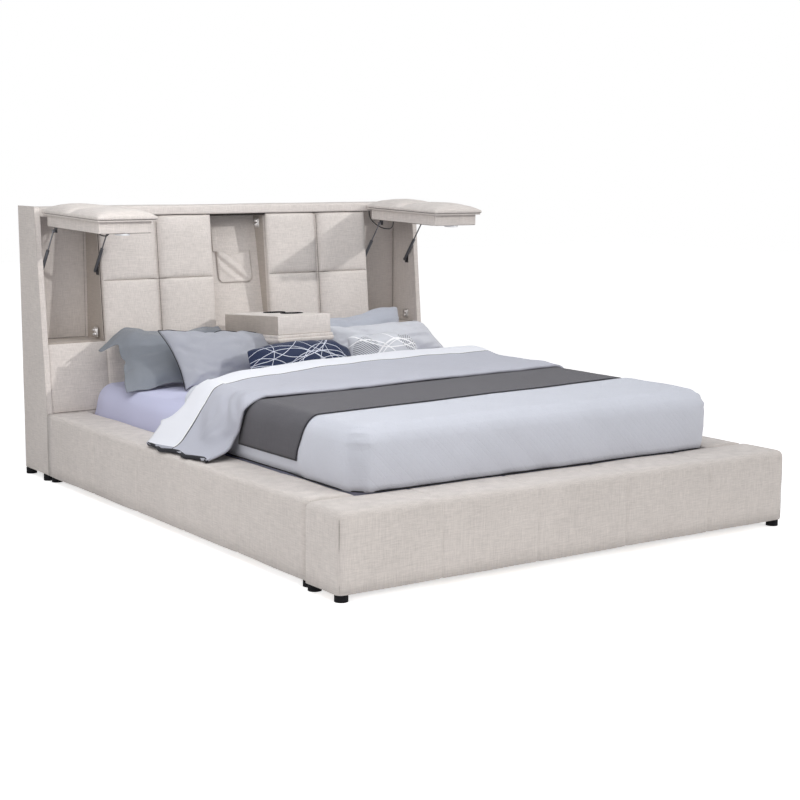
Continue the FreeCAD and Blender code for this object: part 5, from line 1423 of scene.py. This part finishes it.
catchParts = []
for y, z, places in (catchData["flap"], catchData["armrest"]):
    for x, hand in places:
        catchParts += catchMesh(x, y, z, hand)
catchObj = addPiece("rollerCatches", joined(catchParts), chrome, "bed", ["catches"])
sharpen(catchObj, 35)

# materials of the CAD nodes that stay
finishes = {
    linen: ["centre_back", "panel_boards", "headboard_base"],
    # dividers and bin floors in the darker linen: painted shade inside the bins
    linenPaintedShade: ["dividers", "bin_floors"],
    wood: ["slats", "slat_ledges", "footboard_frame", "rail_frames"],
    steel: [
        "centre_support", "rail_brackets", "bolts", "hinge_plates", "hinge_pins",
        "flap_hinge_left", "flap_hinge_right", "armrest_hinge",
    ],
    plastic: ["feet", "cup_holders"],
    darkSteel: ["strut_mounts", "flap_brackets_left", "flap_brackets_right"],
    rodSteel: ["strut_rods_left", "strut_rods_right"],
    strutSkin: ["strut_cylinders_left", "strut_cylinders_right"],
}
for material, names in finishes.items():
    for node in (nodes[name] for name in names):
        for slot in node.material_slots:
            slot.material = material
        if not node.material_slots:
            node.data.materials.append(material)


# floor and light: what the camera sees of them is white, and what they light is fainter
def seenStraight(tree):
    path = addNode(tree, "LightPath")
    mirrored = [path.outputs[key] for key in ("Is Glossy Ray", "Is Transmission Ray")]
    either = addNode(tree, "Math", *mirrored, operation="MAXIMUM")
    return addNode(tree, "Math", path.outputs["Is Camera Ray"], either, operation="MAXIMUM")


def floorMaterial():
    material, tree, shader, place = newMaterial("paleFloor", 0.9)
    grain = streaks(tree, place, (3, 3, 3), 3.0)
    color = addNode(tree, "Mix", inputs={0: grain, 6: paint("#f7f7f7"), 7: paint("#f3f3f3")}, data_type="RGBA")
    tree.links.new(color.outputs[2], shader.inputs["Base Color"])
    shader.inputs["Specular IOR Level"].default_value = 0.1
    glow = addNode(tree, "Math", seenStraight(tree), 0.62, operation="MULTIPLY")
    tree.links.new(glow.outputs[0], shader.inputs["Emission Strength"])
    shader.inputs["Emission Color"].default_value = (1, 1, 1, 1)
    return material


floorMesh = bmesh.new()
bmesh.ops.create_grid(floorMesh, x_segments=2, y_segments=2, size=14)
floorData = bpy.data.meshes.new("paleFloor")
floorMesh.to_mesh(floorData)
floorMesh.free()
floorData.materials.append(floorMaterial())
showObject("paleFloor", floorData)

world = bpy.data.worlds.new("studio")
bpy.context.scene.world = world
world.use_nodes = True
tree = world.node_tree
tree.nodes.clear()
plain = addNode(tree, "Background", paint("#f6f5f6"), 0.36)
white = addNode(tree, "Background", (1, 1, 1, 1), 1.0)
addNode(tree, "OutputWorld", addNode(tree, "MixShader", seenStraight(tree), plain, white))


def lamp(name, kind, place, target, energy, size=None, color=(1, 1, 1), angle=None):
    data = bpy.data.lights.new(name, kind)
    data.energy, data.color = energy, color
    if size:
        data.shape = "RECTANGLE"
        data.size, data.size_y = size
    if angle is not None:
        data.angle = math.radians(angle)
    obj = showObject(name, data)
    obj.location = place
    obj.rotation_euler = (Vector(target) - Vector(place)).to_track_quat("-Z", "Y").to_euler()


lamp("key", "SUN", (5.6, -5.6, 2.9), (0, 0, 0), 1.15, angle=1.6, color=(1.0, 0.985, 0.965))
lamp("top", "AREA", (0.0, -0.35, 3.7), (0, 0, 0), 52, (3.2, 3.2), (0.93, 0.965, 1.0))
lamp("left", "AREA", (-4.9, -3.0, 1.9), (0, -0.2, 0.3), 58, (2.4, 1.8), (1.0, 0.99, 0.985))
lamp("over", "AREA", (-1.5, -0.7, 2.0), (-0.2, 1.05, 0.8), 15, (2.0, 1.0), (1.0, 0.99, 0.985))
bpy.context.scene.view_settings.view_transform = "Standard"
